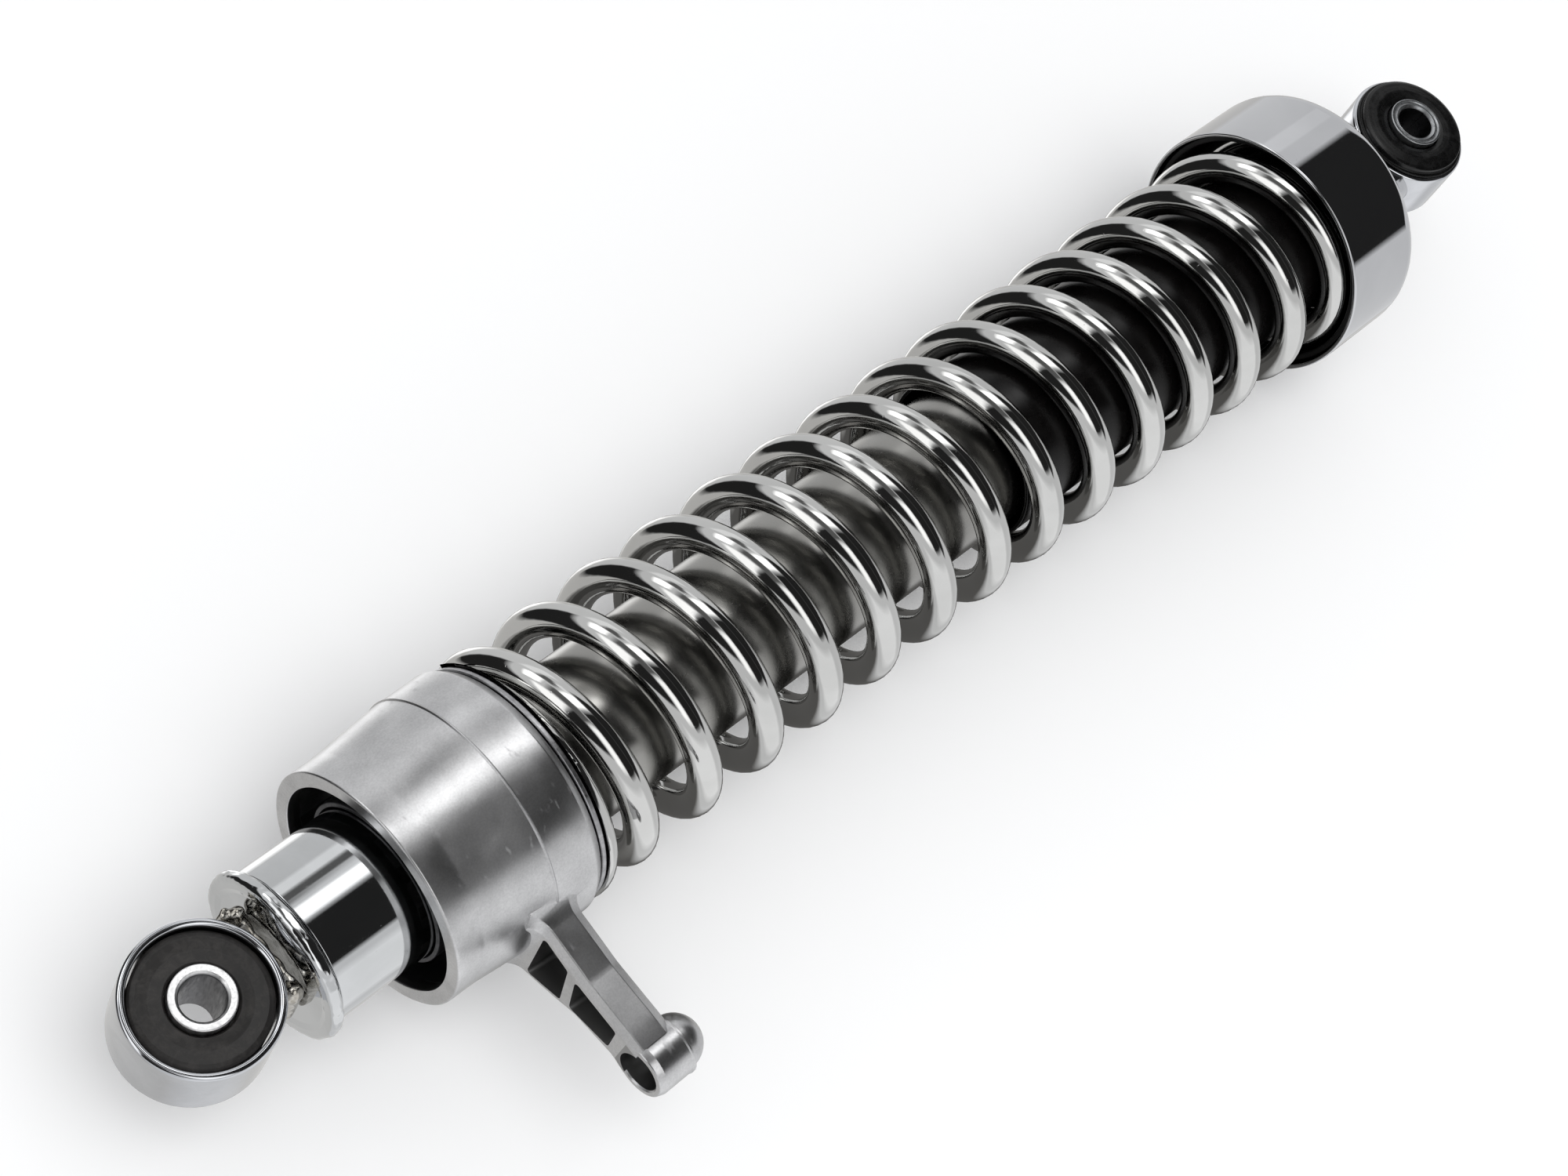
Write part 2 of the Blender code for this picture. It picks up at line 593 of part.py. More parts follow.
def make_rod_set():
    """The rod with the piston pieces on its lower end and the nut under the upper eye."""
    chrome = material("rod_chrome", (0.80, 0.80, 0.81), 0.06, 1.0)
    steel = material("piston_steel", (0.55, 0.55, 0.56), 0.34, 1.0)
    outline = [(ROD_X0, 0.0), (ROD_X0, ROD_THREAD_R - 0.5), (ROD_X0 + 0.5, ROD_THREAD_R),
               (PISTON_X1 + GAP, ROD_THREAD_R), (PISTON_X1 + GAP, ROD_R), (ROD_X1 - 0.6, ROD_R),
               (ROD_X1, ROD_R - 0.6), (ROD_X1, 0.0)]
    rod = finish_mesh("piston_rod", turned(outline, SMALL, closed=False), chrome, (PISTON_X1, 0.0, 0.0))
    groove = PISTON_R - GROOVE_DEEP
    stud = ROD_THREAD_R + GAP
    outline = [(PISTON_X0, stud), (PISTON_X0, PISTON_R - 0.3), (PISTON_X0 + 0.3, PISTON_R),
               (GROOVE_X0, PISTON_R), (GROOVE_X0, groove), (GROOVE_X1, groove), (GROOVE_X1, PISTON_R),
               (PISTON_X1 - 0.3, PISTON_R), (PISTON_X1, PISTON_R - 0.3), (PISTON_X1, stud)]
    piston = finish_mesh("piston", turned(outline, MEDIUM), steel, (PISTON_X0, 0.0, 0.0))
    drill_ports(piston, PISTON_X0 - 3.0, PISTON_X1 + 3.0, PISTON_PORT_CIRCLE_R)
    ptfe = material("piston_ring_ptfe", (0.16, 0.17, 0.15), 0.4, 0.0)
    band = ring("piston_ring", ptfe, GROOVE_X0 + GAP, GROOVE_X1 - GAP, groove + GAP, RING_R, MEDIUM)
    spring_steel = material("shim_steel", (0.48, 0.50, 0.55), 0.25, 1.0)
    outline = [(SHIM_X0, stud)]
    for index, radius in enumerate(SHIM_RADII):
        x = SHIM_X0 + SHIM_STEP * index
        outline += [(x, radius), (x + SHIM_STEP, radius)]
    outline.append((SHIM_X0 + SHIM_STEP * len(SHIM_RADII), stud))
    shims = finish_mesh("shim_stack", turned(outline, SMALL), spring_steel, (SHIM_X0, 0.0, 0.0))
    nut_steel = material("nut_steel", (0.45, 0.45, 0.46), 0.4, 1.0)
    piston_nut = hex_nut("piston_nut", nut_steel, PISTON_NUT_X0, PISTON_NUT_X1, PISTON_NUT_FLAT_R, stud)
    bumper_rubber = material("rebound_rubber", (0.04, 0.035, 0.03), 0.6, 0.0)
    bumper_end = GUIDE_X0 - GAP
    bumper = ring("rebound_bumper", bumper_rubber, BUMPER_X0, bumper_end, ROD_R + GAP, BUMPER_R, SMALL, 0.8)
    zinc = material("lock_nut_zinc", (0.62, 0.62, 0.63), 0.3, 1.0)
    lock = hex_nut("rod_lock_nut", zinc, NUT_X0, NUT_X1, NUT_FLAT_R, ROD_R + GAP)
    return rod, piston, band, shims, piston_nut, bumper, lock


def hex_nut(name, mat, x0, x1, flat_r, bore_r):
    corner_r = flat_r / math.cos(math.radians(30.0))
    outline = []
    for index in range(6):
        angle = math.radians(60.0 * index + 30.0)
        outline.append((corner_r * math.cos(angle), corner_r * math.sin(angle)))
    nut = finish_mesh(name, prism(outline, x0, x1), mat, (x0, 0.0, 0.0))
    join_or_cut(nut, rod_about_x(x0 - 2.0, x1 + 2.0, bore_r, 0.0, 0.0, SMALL), "DIFFERENCE")
    weld_close(nut)
    return nut


def make_cap_set():
    """The chromed cup, its black liner, the dust cover and the bump stop."""
    chrome = material("cap_chrome", (0.78, 0.79, 0.80), 0.08, 1.0)
    bend = CAP_X1 - CAP_SHOULDER_X
    inner_bend = bend - CAP_TOP_T * 0.5
    bore = ROD_R + 0.8
    top_in = CAP_X1 - CAP_TOP_T
    outline = [(CAP_X0, CAP_R - CAP_WALL), (CAP_X0, CAP_R - 0.2), (CAP_X0 + 0.3, CAP_R)]
    outline.append((CAP_SHOULDER_X, CAP_R))
    outline += arc(CAP_SHOULDER_X, CAP_R - bend, bend, 72.0, 0.0, 4)
    outline += [(CAP_X1, bore), (top_in, bore), (top_in, CAP_R - CAP_WALL - inner_bend * 0.6),
                (top_in - 1.6, CAP_R - CAP_WALL)]
    cap = finish_mesh("spring_cap", turned(outline, FINE), chrome, (CAP_X0, 0.0, 0.0))
    black = material("liner_black", (0.015, 0.015, 0.016), 0.5, 0.0)
    liner_bore = ROD_R + 1.4
    outline = [(LINER_X0, LINER_R_IN), (LINER_X0, LINER_R_OUT), (LINER_TOP_X1 - 1.8, LINER_R_OUT),
               (LINER_TOP_X1, LINER_R_OUT - 1.8), (LINER_TOP_X1, liner_bore), (LINER_TOP_X0, liner_bore),
               (LINER_TOP_X0, LINER_R_IN)]
    liner = finish_mesh("upper_spring_seat", turned(outline, FINE), black, (LINER_X0, 0.0, 0.0))
    satin = material("cover_black", (0.02, 0.02, 0.021), 0.35, 0.0)
    flange = COVER_X1 - 1.2
    cover_bore = ROD_R + 1.4
    outline = [(COVER_X0, COVER_R - COVER_WALL), (COVER_X0, COVER_R), (COVER_X1 - 0.6, COVER_R),
               (COVER_X1, COVER_R - 0.6), (COVER_X1, cover_bore), (flange, cover_bore),
               (flange, COVER_R - COVER_WALL)]
    cover = finish_mesh("dust_cover", turned(outline, FINE), satin, (COVER_X0, 0.0, 0.0))
    foam = material("bump_stop_foam", (0.10, 0.095, 0.08), 0.8, 0.0)
    r_in = ROD_R + GAP
    middle = (BUMP_X0 + BUMP_X1) * 0.5
    outline = [(BUMP_X0, r_in), (BUMP_X0, 8.0), (BUMP_X0 + 2.5, 10.6), (middle - 1.5, BUMP_BULGE_R),
               (middle, BUMP_WAIST_R), (middle + 1.5, BUMP_BULGE_R), (BUMP_X1 - 1.0, BUMP_BULGE_R + 0.2),
               (BUMP_X1, BUMP_BULGE_R - 0.4), (BUMP_X1, r_in)]
    stop = finish_mesh("bump_stop", turned(outline, SMALL), foam, (BUMP_X0, 0.0, 0.0))
    return cap, liner, cover, stop


def wire_path():
    """Centre line of the spring: closed and ground end turns joined by an even pitch."""
    x_start = SPRING_X0 - GRIND
    x_stop = SPRING_X1 + GRIND
    rise_low = CLOSED_PITCH * CLOSED_TURNS_LOW
    rise_high = CLOSED_PITCH * CLOSED_TURNS_HIGH
    total = CLOSED_TURNS_LOW + CLOSED_TURNS_HIGH + (x_stop - x_start - rise_low - rise_high) / PITCH
    count = int(round(total * STEPS_PER_TURN))
    points = []
    for step in range(count + 1):
        turn = total * step / count
        if turn < CLOSED_TURNS_LOW:
            x = x_start + CLOSED_PITCH * turn
        elif turn > total - CLOSED_TURNS_HIGH:
            x = x_stop - CLOSED_PITCH * (total - turn)
        else:
            x = x_start + rise_low + PITCH * (turn - CLOSED_TURNS_LOW)
        angle = math.radians(SPRING_PHASE_DEG) + 2.0 * math.pi * turn
        points.append((x, angle))
    return points


def make_spring():
    chrome = material("spring_chrome", (0.78, 0.79, 0.80), 0.09, 1.0)
    path = wire_path()
    bm = bmesh.new()
    loops = []
    for x, angle in path:
        radial = Vector((0.0, math.cos(angle), math.sin(angle)))
        loop = []
        for side in range(WIRE_SIDES):
            turn = 2.0 * math.pi * (side + 0.5) / WIRE_SIDES
            point = radial * (COIL_R + WIRE_R * math.cos(turn))
            point.x = min(max(x + WIRE_R * math.sin(turn), SPRING_X0), SPRING_X1)
            loop.append(bm.verts.new(point))
        loops.append(loop)
    for here, there in zip(loops, loops[1:]):
        for index in range(WIRE_SIDES):
            nxt = (index + 1) % WIRE_SIDES
            bm.faces.new((here[index], here[nxt], there[nxt], there[index]))
    bm.faces.new(loops[0])
    bm.faces.new(loops[-1])
    return finish_mesh("spring", bm, chrome, (SPRING_X0, 0.0, 0.0))


def main():
    clear_scene()
    upper_eye, upper_bush, upper_sleeve = make_upper_eye()
    rod_set = make_rod_set()
    cap_set = make_cap_set()
    spring = make_spring()
    seat_steel = material("seat_steel", (0.50, 0.50, 0.51), 0.35, 1.0)
    seat = ring("lower_spring_seat", seat_steel, SEAT_X0, SEAT_X1, TUBE_R + 0.7, COIL_R + WIRE_R - 0.5, FINE)
    adjuster = make_adjuster()
    damper_set = make_damper()
    lugs = make_cam_lugs()
    weld, bottom_cap = make_bottom()
    lower_eye, lower_bush, lower_sleeve = make_lower_eye()

    top_rig = rig_empty("rig_top_eye", EYE_TO_EYE)
    top_pin = rig_empty("rig_upper_sleeve", EYE_TO_EYE, top_rig)
    cap_rig = rig_empty("rig_cap", CAP_X0, top_rig)
    seat_rig = rig_empty("rig_spring_seat", SEAT_X0, cap_rig)
    turn_rig = rig_empty("rig_adjuster", ADJ_X0, seat_rig)
    damper_rig = rig_empty("rig_damper", TUBE_X0, seat_rig)
    low_pin = rig_empty("rig_lower_sleeve", 0.0, damper_rig)
    parent_to(top_rig, (upper_eye, upper_bush) + rod_set)
    parent_to(top_pin, (upper_sleeve,))
    parent_to(cap_rig, cap_set)
    parent_to(seat_rig, (seat, spring))
    parent_to(turn_rig, (adjuster,))
    parent_to(damper_rig, damper_set + (lugs, weld, bottom_cap, lower_eye, lower_bush))
    parent_to(low_pin, (lower_sleeve,))
    bpy.context.view_layer.update()


main()
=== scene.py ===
import math
import random

import bmesh
import bpy
from mathutils import Matrix, Vector, noise


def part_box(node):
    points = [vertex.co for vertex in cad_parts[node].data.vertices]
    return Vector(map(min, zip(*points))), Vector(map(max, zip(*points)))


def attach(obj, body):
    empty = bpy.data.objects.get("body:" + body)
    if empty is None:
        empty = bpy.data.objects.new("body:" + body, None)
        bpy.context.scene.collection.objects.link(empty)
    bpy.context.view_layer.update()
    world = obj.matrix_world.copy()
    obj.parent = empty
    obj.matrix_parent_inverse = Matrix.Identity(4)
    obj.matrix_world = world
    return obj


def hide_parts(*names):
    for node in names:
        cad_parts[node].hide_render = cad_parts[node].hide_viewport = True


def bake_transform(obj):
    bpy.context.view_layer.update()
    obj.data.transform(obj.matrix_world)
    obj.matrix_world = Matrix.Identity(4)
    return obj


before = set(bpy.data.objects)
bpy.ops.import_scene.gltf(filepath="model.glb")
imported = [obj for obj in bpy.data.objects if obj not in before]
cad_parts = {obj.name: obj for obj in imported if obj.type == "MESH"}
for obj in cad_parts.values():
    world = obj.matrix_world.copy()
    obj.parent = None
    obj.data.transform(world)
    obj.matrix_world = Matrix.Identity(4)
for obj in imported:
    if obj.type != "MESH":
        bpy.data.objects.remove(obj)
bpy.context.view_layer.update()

MM = 0.001
STEPS = 160                    # steps round a large turned piece
FINE_STEPS = 240               # steps round the adjuster, whose cam changes with the angle
SMALL_STEPS = 96               # steps round a sleeve, a bore or the lever's boss


# ---------------------------------------------------------------- frame

def box_mm(node):
    low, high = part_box(node)
    return low / MM, high / MM


def span(node):
    """Lowest x, highest x and outer radius of a round piece on the damper axis, in millimetres."""
    low, high = box_mm(node)
    return low.x, high.x, high.y


def eye_span(node):
    """Centre x, half width along Z and outer radius of a round piece on an eye axis."""
    low, high = box_mm(node)
    return (low.x + high.x) * 0.5, high.z, high.y


# ---------------------------------------------------------------- mesh helpers

def unit(vec):
    length = math.hypot(*vec)
    return (vec[0] / length, vec[1] / length)


def mirrored(side):
    """Corners of one half of an eye's section, followed by the same corners on the other half."""
    return side + [(-along, radius, fillet) for along, radius, fillet in reversed(side)]


def on_circle(radius, angle):
    """The two coordinates of a point at an angle in degrees."""
    return radius * math.cos(math.radians(angle)), radius * math.sin(math.radians(angle))


def new_object(name, data):
    obj = bpy.data.objects.new(name, data)
    bpy.context.scene.collection.objects.link(obj)
    return obj


def rounded(corners, segments=6, support=0.12, closed=True):
    """An outline whose corners (a, b, fillet) are arcs, with a support point beside each long straight."""
    points = []
    count = len(corners)
    for index, (a, b, fillet) in enumerate(corners):
        if fillet <= 0.0 or (not closed and index in (0, count - 1)):
            points.append((a, b))
            continue
        before = corners[index - 1]
        after = corners[(index + 1) % count]
        to_before = (before[0] - a, before[1] - b)
        to_after = (after[0] - a, after[1] - b)
        room = 0.48 * min(math.hypot(*to_before), math.hypot(*to_after))
        d0 = unit(to_before)
        d1 = unit(to_after)
        half = 0.5 * math.acos(max(-1.0, min(1.0, d0[0] * d1[0] + d0[1] * d1[1])))
        if half > math.radians(89.0):
            points.append((a, b))
            continue
        reach = min(fillet / math.tan(half), room)
        radius = reach * math.tan(half)
        middle = unit((d0[0] + d1[0], d0[1] + d1[1]))
        centre = (a + middle[0] * radius / math.sin(half), b + middle[1] * radius / math.sin(half))
        start = (a + d0[0] * reach - centre[0], b + d0[1] * reach - centre[1])
        stop = (a + d1[0] * reach - centre[0], b + d1[1] * reach - centre[1])
        sweep = math.pi - 2.0 * half
        if start[0] * stop[1] - start[1] * stop[0] < 0.0:
            sweep = -sweep
        points.append((a + d0[0] * (reach + support), b + d0[1] * (reach + support)))
        for step in range(segments + 1):
            turn = sweep * step / segments
            c = math.cos(turn)
            s = math.sin(turn)
            points.append((centre[0] + start[0] * c - start[1] * s, centre[1] + start[0] * s + start[1] * c))
        points.append((a + d1[0] * (reach + support), b + d1[1] * (reach + support)))
    return points


def skin(bm, rows):
    """Faces between rings of vertices, and one face over each end."""
    for here, there in zip(rows, rows[1:]):
        for index in range(len(here)):
            nxt = (index + 1) % len(here)
            bm.faces.new((here[index], here[nxt], there[nxt], there[index]))
    bm.faces.new(rows[0])
    bm.faces.new(rows[-1])


def turned(outline, steps=STEPS, about="X", centre=(0.0, 0.0), closed=True, shape=None):
    """Sweep an (along, radius) outline round X at (y, z) = centre, or round Z at x = centre[0].

    The outline may be a function of the angle in degrees. shape(along, radius, angle) may return a changed
    (along, radius) for hand-made unevenness.
    """
    at_angle = outline if callable(outline) else (lambda angle: outline)
    bm = bmesh.new()
    rows = []
    for step in range(steps):
        angle = 360.0 * step / steps
        c = math.cos(math.radians(angle))
        s = math.sin(math.radians(angle))
        row = []
        for along, radius in at_angle(angle):
            if shape is not None and radius > 0.0:
                along, radius = shape(along, radius, angle)
            if about == "X":
                point = (along, centre[0] + radius * c, centre[1] + radius * s)
            else:
                point = (centre[0] + radius * c, radius * s, along)
            row.append(bm.verts.new(point))
        rows.append(row)
    count = len(rows[0])
    for step in range(steps):
        here = rows[step]
        there = rows[(step + 1) % steps]
        for index in range(count if closed else count - 1):
            nxt = (index + 1) % count
            bm.faces.new((here[index], here[nxt], there[nxt], there[index]))
    bmesh.ops.remove_doubles(bm, verts=bm.verts, dist=0.0002)
    return bm


def piece(name, bm, mat, body, replaces=(), crease=38.0):
    """Make a mesh in metres from a bmesh in millimetres, and let it ride on a body."""
    bmesh.ops.recalc_face_normals(bm, faces=bm.faces)
    bmesh.ops.scale(bm, verts=bm.verts, vec=(MM, MM, MM))
    mesh = bpy.data.meshes.new(name)
    bm.to_mesh(mesh)
    bm.free()
    mesh.shade_smooth()
    mesh.set_sharp_from_angle(angle=math.radians(crease))
    mesh.materials.append(mat)
    obj = new_object(name, mesh)
    if body is not None:
        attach(obj, body)
    if replaces:
        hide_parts(*replaces)
    return obj


def boolean(bm, tool, operation):
    """One exact Boolean between two closed bmeshes; both are used up and the result is returned."""
    made = []
    for part in (bm, tool):
        bmesh.ops.recalc_face_normals(part, faces=part.faces)
        mesh = bpy.data.meshes.new("boolean_part")
        part.to_mesh(mesh)
        part.free()
        made.append(new_object("boolean_part", mesh))
    step = made[0].modifiers.new("cut", "BOOLEAN")
    step.operation = operation
    step.solver = "EXACT"
    step.object = made[1]
    depsgraph = bpy.context.evaluated_depsgraph_get()
    result = bmesh.new()
    result.from_mesh(made[0].evaluated_get(depsgraph).to_mesh())
    for obj in made:
        mesh = obj.data
        bpy.data.objects.remove(obj, do_unlink=True)
        bpy.data.meshes.remove(mesh)
    bmesh.ops.remove_doubles(result, verts=result.verts, dist=0.0004)
    return result


def prism_x(outline, x0, x1):
    """A closed (y, z) outline pulled along X."""
    bm = bmesh.new()
    skin(bm, [[bm.verts.new((x, y, z)) for y, z in outline] for x in (x0, x1)])
    return bm


# ---------------------------------------------------------------- materials

# colour of the darker plate past dull_from
DULL_PLATE = (0.33, 0.325, 0.31)
DULL_BLEND = 6.0               # mm over which bright plate turns into the darker, satin one
HOLLOW_SHADE = (0.31, 0.31, 0.31)    # painted shade inside the cup, the arm's hollows and the blind bore
# colour of a sleeve's bore, much darker than its plate
BORE_DARK = (0.10, 0.10, 0.105)
SPACER_BORE_R = 4.0            # bore of both eyes' sleeves


def shader_of(name, metallic=0.0, roughness=0.5, colour=(0.5, 0.5, 0.5)):
    mat = bpy.data.materials.new(name)
    mat.use_nodes = True
    tree = mat.node_tree
    shader = tree.nodes["Principled BSDF"]
    shader.inputs["Metallic"].default_value = metallic
    shader.inputs["Roughness"].default_value = roughness
    shader.inputs["Base Color"].default_value = (*colour, 1.0)
    return mat, tree, shader


def object_coords(tree, stretch=(1.0, 1.0, 1.0), shift=(0.0, 0.0, 0.0)):
    coords = tree.nodes.new("ShaderNodeTexCoord")
    mapping = tree.nodes.new("ShaderNodeMapping")
    mapping.inputs["Scale"].default_value = stretch
    mapping.inputs["Location"].default_value = shift
    tree.links.new(coords.outputs["Object"], mapping.inputs["Vector"])
    return mapping.outputs["Vector"]


def noise_tex(tree, vector, size_mm, detail=3.0, rough=0.5, warp=0.0):
    """Noise whose features are about size_mm across."""
    node = tree.nodes.new("ShaderNodeTexNoise")
    node.inputs["Scale"].default_value = 1000.0 / size_mm
    node.inputs["Detail"].default_value = detail
    node.inputs["Roughness"].default_value = rough
    node.inputs["Distortion"].default_value = warp
    tree.links.new(vector, node.inputs["Vector"])
    return node.outputs["Fac"]


def ramp(tree, value, low, high, out_low, out_high):
    """Map value from low..high to out_low..out_high, clamped."""
    node = tree.nodes.new("ShaderNodeMapRange")
    node.inputs["From Min"].default_value = low
    node.inputs["From Max"].default_value = high
    node.inputs["To Min"].default_value = out_low
    node.inputs["To Max"].default_value = out_high
    tree.links.new(value, node.inputs["Value"])
    return node.outputs["Result"]


def tint(tree, value, first, second):
    """Mix from the first colour to the second by a 0..1 value; a colour is a tuple or a node's output."""
    node = tree.nodes.new("ShaderNodeMix")
    node.data_type = "RGBA"
    tree.links.new(value, node.inputs["Factor"])
    for socket, colour in (("A", first), ("B", second)):
        if isinstance(colour, tuple):
            node.inputs[socket].default_value = (*colour, 1.0)
        else:
            tree.links.new(colour, node.inputs[socket])
    return node.outputs["Result"]


def add_bump(tree, shader, height, depth_mm, strength=1.0, under=None):
    """Bump of about depth_mm; under chains it on another bump."""
    node = tree.nodes.new("ShaderNodeBump")
    node.inputs["Strength"].default_value = strength
    node.inputs["Distance"].default_value = depth_mm * MM
    tree.links.new(height, node.inputs["Height"])
    if under is not None:
        tree.links.new(under, node.inputs["Normal"])
    tree.links.new(node.outputs["Normal"], shader.inputs["Normal"])
    return node.outputs["Normal"]


def added(tree, a, b):
    node = tree.nodes.new("ShaderNodeMath")
    node.operation = "ADD"
    tree.links.new(a, node.inputs[0])
    tree.links.new(b, node.inputs[1])
    return node.outputs["Value"]


def scratches(tree, stretch, size_mm, share):
    """Thin stretched streaks, 1 on a scratch and 0 elsewhere; share is how much of the surface they take."""
    streak = noise_tex(tree, object_coords(tree, stretch), size_mm, 2.0, 0.6)
    return ramp(tree, streak, 0.5 + 0.2 * (1.0 - share), 0.75, 0.0, 1.0)


def chrome(name, dark, light, rough=0.035, wave_mm=9.0, wave_depth=0.006, haze=0.05, streak=(0.25, 1.0, 1.0),
           dull_from=None):
    """Bright plate over polished steel: faint waves, hazy patches, hairlines and a few pits.

    dull_from is the x, in millimetres, above which the plate is darker and satin.
    """
    mat, tree, shader = shader_of(name, 1.0, rough, light)
    plain = object_coords(tree)
    patches = noise_tex(tree, plain, wave_mm * 1.7, 4.0, 0.6, 0.4)
    colour = tint(tree, ramp(tree, patches, 0.35, 0.7, 0.0, 1.0), dark, light)
    hair = scratches(tree, streak, 0.5, 0.25)
    hazy = ramp(tree, noise_tex(tree, plain, 3.5, 5.0, 0.65), 0.45, 0.8, rough, rough + haze)
    worn = added(tree, hazy, ramp(tree, hair, 0.0, 1.0, 0.0, 0.06))
    if dull_from is not None:
        split = tree.nodes.new("ShaderNodeSeparateXYZ")
        tree.links.new(plain, split.inputs["Vector"])
        dull = ramp(tree, split.outputs["X"], dull_from * MM, (dull_from + DULL_BLEND) * MM, 0.0, 1.0)
        colour = tint(tree, dull, colour, DULL_PLATE)
        worn = added(tree, worn, ramp(tree, dull, 0.0, 1.0, 0.0, 0.17))
    tree.links.new(colour, shader.inputs["Base Color"])
    tree.links.new(worn, shader.inputs["Roughness"])
    wave = add_bump(tree, shader, noise_tex(tree, plain, wave_mm, 1.0), wave_depth * 6.0, 0.5)
    pit = ramp(tree, noise_tex(tree, plain, 0.9, 1.0), 0.18, 0.24, -1.0, 0.0)
    dents = add_bump(tree, shader, pit, 0.012, 0.6, wave)
    add_bump(tree, shader, hair, 0.0012, 0.5, dents)
    return mat


def cast_metal(name, dark, light, rough=0.27):
    """Die-cast aluminium after a tumble finish: blotches, fine grain, soft dents and scuffs.

    Faces whose attribute "grime" is 1 get a darker colour: painted shade in the hollows.
    """
    mat, tree, shader = shader_of(name, 1.0, rough, light)
    plain = object_coords(tree)
    blotch = noise_tex(tree, plain, 7.0, 3.0, 0.5, 0.3)
    grain = noise_tex(tree, plain, 0.4, 2.0, 0.6)
    mixed = added(tree, ramp(tree, blotch, 0.30, 0.75, 0.0, 0.6), ramp(tree, grain, 0.3, 0.7, 0.0, 0.4))
    # painted shade: the marked hollows take the darker colour
    hollow = tree.nodes.new("ShaderNodeAttribute")
    hollow.attribute_name = "hollow_shade"
    colour = tint(tree, hollow.outputs["Fac"], tint(tree, mixed, dark, light), HOLLOW_SHADE)
    tree.links.new(colour, shader.inputs["Base Color"])
    scuff = scratches(tree, (1.0, 0.28, 0.5), 1.1, 0.35)
    mottled = ramp(tree, noise_tex(tree, plain, 9.0, 2.0, 0.45, 0.3), 0.3, 0.75, rough - 0.01, rough + 0.07)
    worn = added(tree, mottled, ramp(tree, scuff, 0.0, 1.0, 0.0, 0.12))
    tree.links.new(worn, shader.inputs["Roughness"])
    soft = add_bump(tree, shader, noise_tex(tree, plain, 10.0, 1.0, 0.4), 0.10, 0.5)
    fine = add_bump(tree, shader, noise_tex(tree, plain, 0.5, 3.0, 0.55), 0.012, 0.45, soft)
    add_bump(tree, shader, scuff, 0.005, 0.4, fine)
    return mat


def rubber(name, dark, light, rough, ring_at=None, grain_mm=0.7, depth=0.015):
    """Moulded rubber; ring_at is the x of an eye axis, in millimetres, round which the mould was turned."""
    mat, tree, shader = shader_of(name, 0.0, rough, dark)
    shader.inputs["Specular IOR Level"].default_value = 0.32
    plain = object_coords(tree)
    dust = ramp(tree, noise_tex(tree, plain, 2.2, 6.0, 0.72, 0.5), 0.45, 0.78, 0.0, 1.0)
    tree.links.new(tint(tree, dust, dark, light), shader.inputs["Base Color"])
    tree.links.new(ramp(tree, dust, 0.0, 1.0, rough - 0.05, rough + 0.15), shader.inputs["Roughness"])
    under = add_bump(tree, shader, noise_tex(tree, plain, grain_mm, 3.0, 0.6), depth, 0.6)
    if ring_at is not None:
        wave = tree.nodes.new("ShaderNodeTexWave")
        wave.wave_type = "RINGS"
        wave.rings_direction = "Z"
        wave.inputs["Scale"].default_value = 330.0
        wave.inputs["Distortion"].default_value = 1.2
        wave.inputs["Detail"].default_value = 2.0
        tree.links.new(object_coords(tree, shift=(-ring_at * MM, 0.0, 0.0)), wave.inputs["Vector"])
        add_bump(tree, shader, wave.outputs["Fac"], 0.012, 0.35, under)
    return mat


def plastic(name, dark, light, rough, grain_mm=0.35, depth=0.01):
    """Satin black moulding or paint with a slight orange peel and rubbed patches."""
    mat, tree, shader = shader_of(name, 0.0, rough, dark)
    shader.inputs["Specular IOR Level"].default_value = 0.22
    plain = object_coords(tree)
    rub = ramp(tree, noise_tex(tree, plain, 8.0, 5.0, 0.65, 0.5), 0.4, 0.75, 0.0, 1.0)
    tree.links.new(tint(tree, rub, dark, light), shader.inputs["Base Color"])
    tree.links.new(ramp(tree, rub, 0.0, 1.0, rough - 0.06, rough + 0.08), shader.inputs["Roughness"])
    peel = add_bump(tree, shader, noise_tex(tree, plain, 1.6, 2.0, 0.5), depth, 0.5)
    add_bump(tree, shader, noise_tex(tree, plain, grain_mm, 3.0, 0.6), depth * 0.4, 0.5, peel)
    return mat


def machined(name, dark, light, rough, stretch=(1.0, 1.0, 1.0), metal=1.0, bore_at=None):
    """Turned or drawn metal: fine lines one way, mottled roughness and a thin uneven film.

    bore_at is the x of a sleeve's axis, in millimetres; its bore is coloured much darker than the plate.
    """
    mat, tree, shader = shader_of(name, metal, rough, light)
    plain = object_coords(tree)
    film = ramp(tree, noise_tex(tree, plain, 3.0, 5.0, 0.65, 0.6), 0.35, 0.72, 0.0, 1.0)
    colour = tint(tree, film, dark, light)
    if bore_at is not None:
        flat = tree.nodes.new("ShaderNodeVectorMath")
        flat.operation = "MULTIPLY_ADD"
        flat.inputs[1].default_value = (1.0, 1.0, 0.0)
        flat.inputs[2].default_value = (-bore_at * MM, 0.0, 0.0)
        tree.links.new(plain, flat.inputs[0])
        away = tree.nodes.new("ShaderNodeVectorMath")
        away.operation = "LENGTH"
        tree.links.new(flat.outputs["Vector"], away.inputs[0])
        wall = SPACER_BORE_R * MM
        outside = ramp(tree, away.outputs["Value"], wall + 0.05 * MM, wall + 0.3 * MM, 0.0, 1.0)
        colour = tint(tree, outside, BORE_DARK, colour)
    tree.links.new(colour, shader.inputs["Base Color"])
    lines = noise_tex(tree, object_coords(tree, stretch), 0.5, 3.0, 0.6)
    tree.links.new(ramp(tree, lines, 0.3, 0.7, rough - 0.06, rough + 0.12), shader.inputs["Roughness"])
    under = add_bump(tree, shader, lines, 0.006, 0.5)
    add_bump(tree, shader, noise_tex(tree, plain, 1.3, 3.0, 0.6), 0.012, 0.3, under)
    return mat


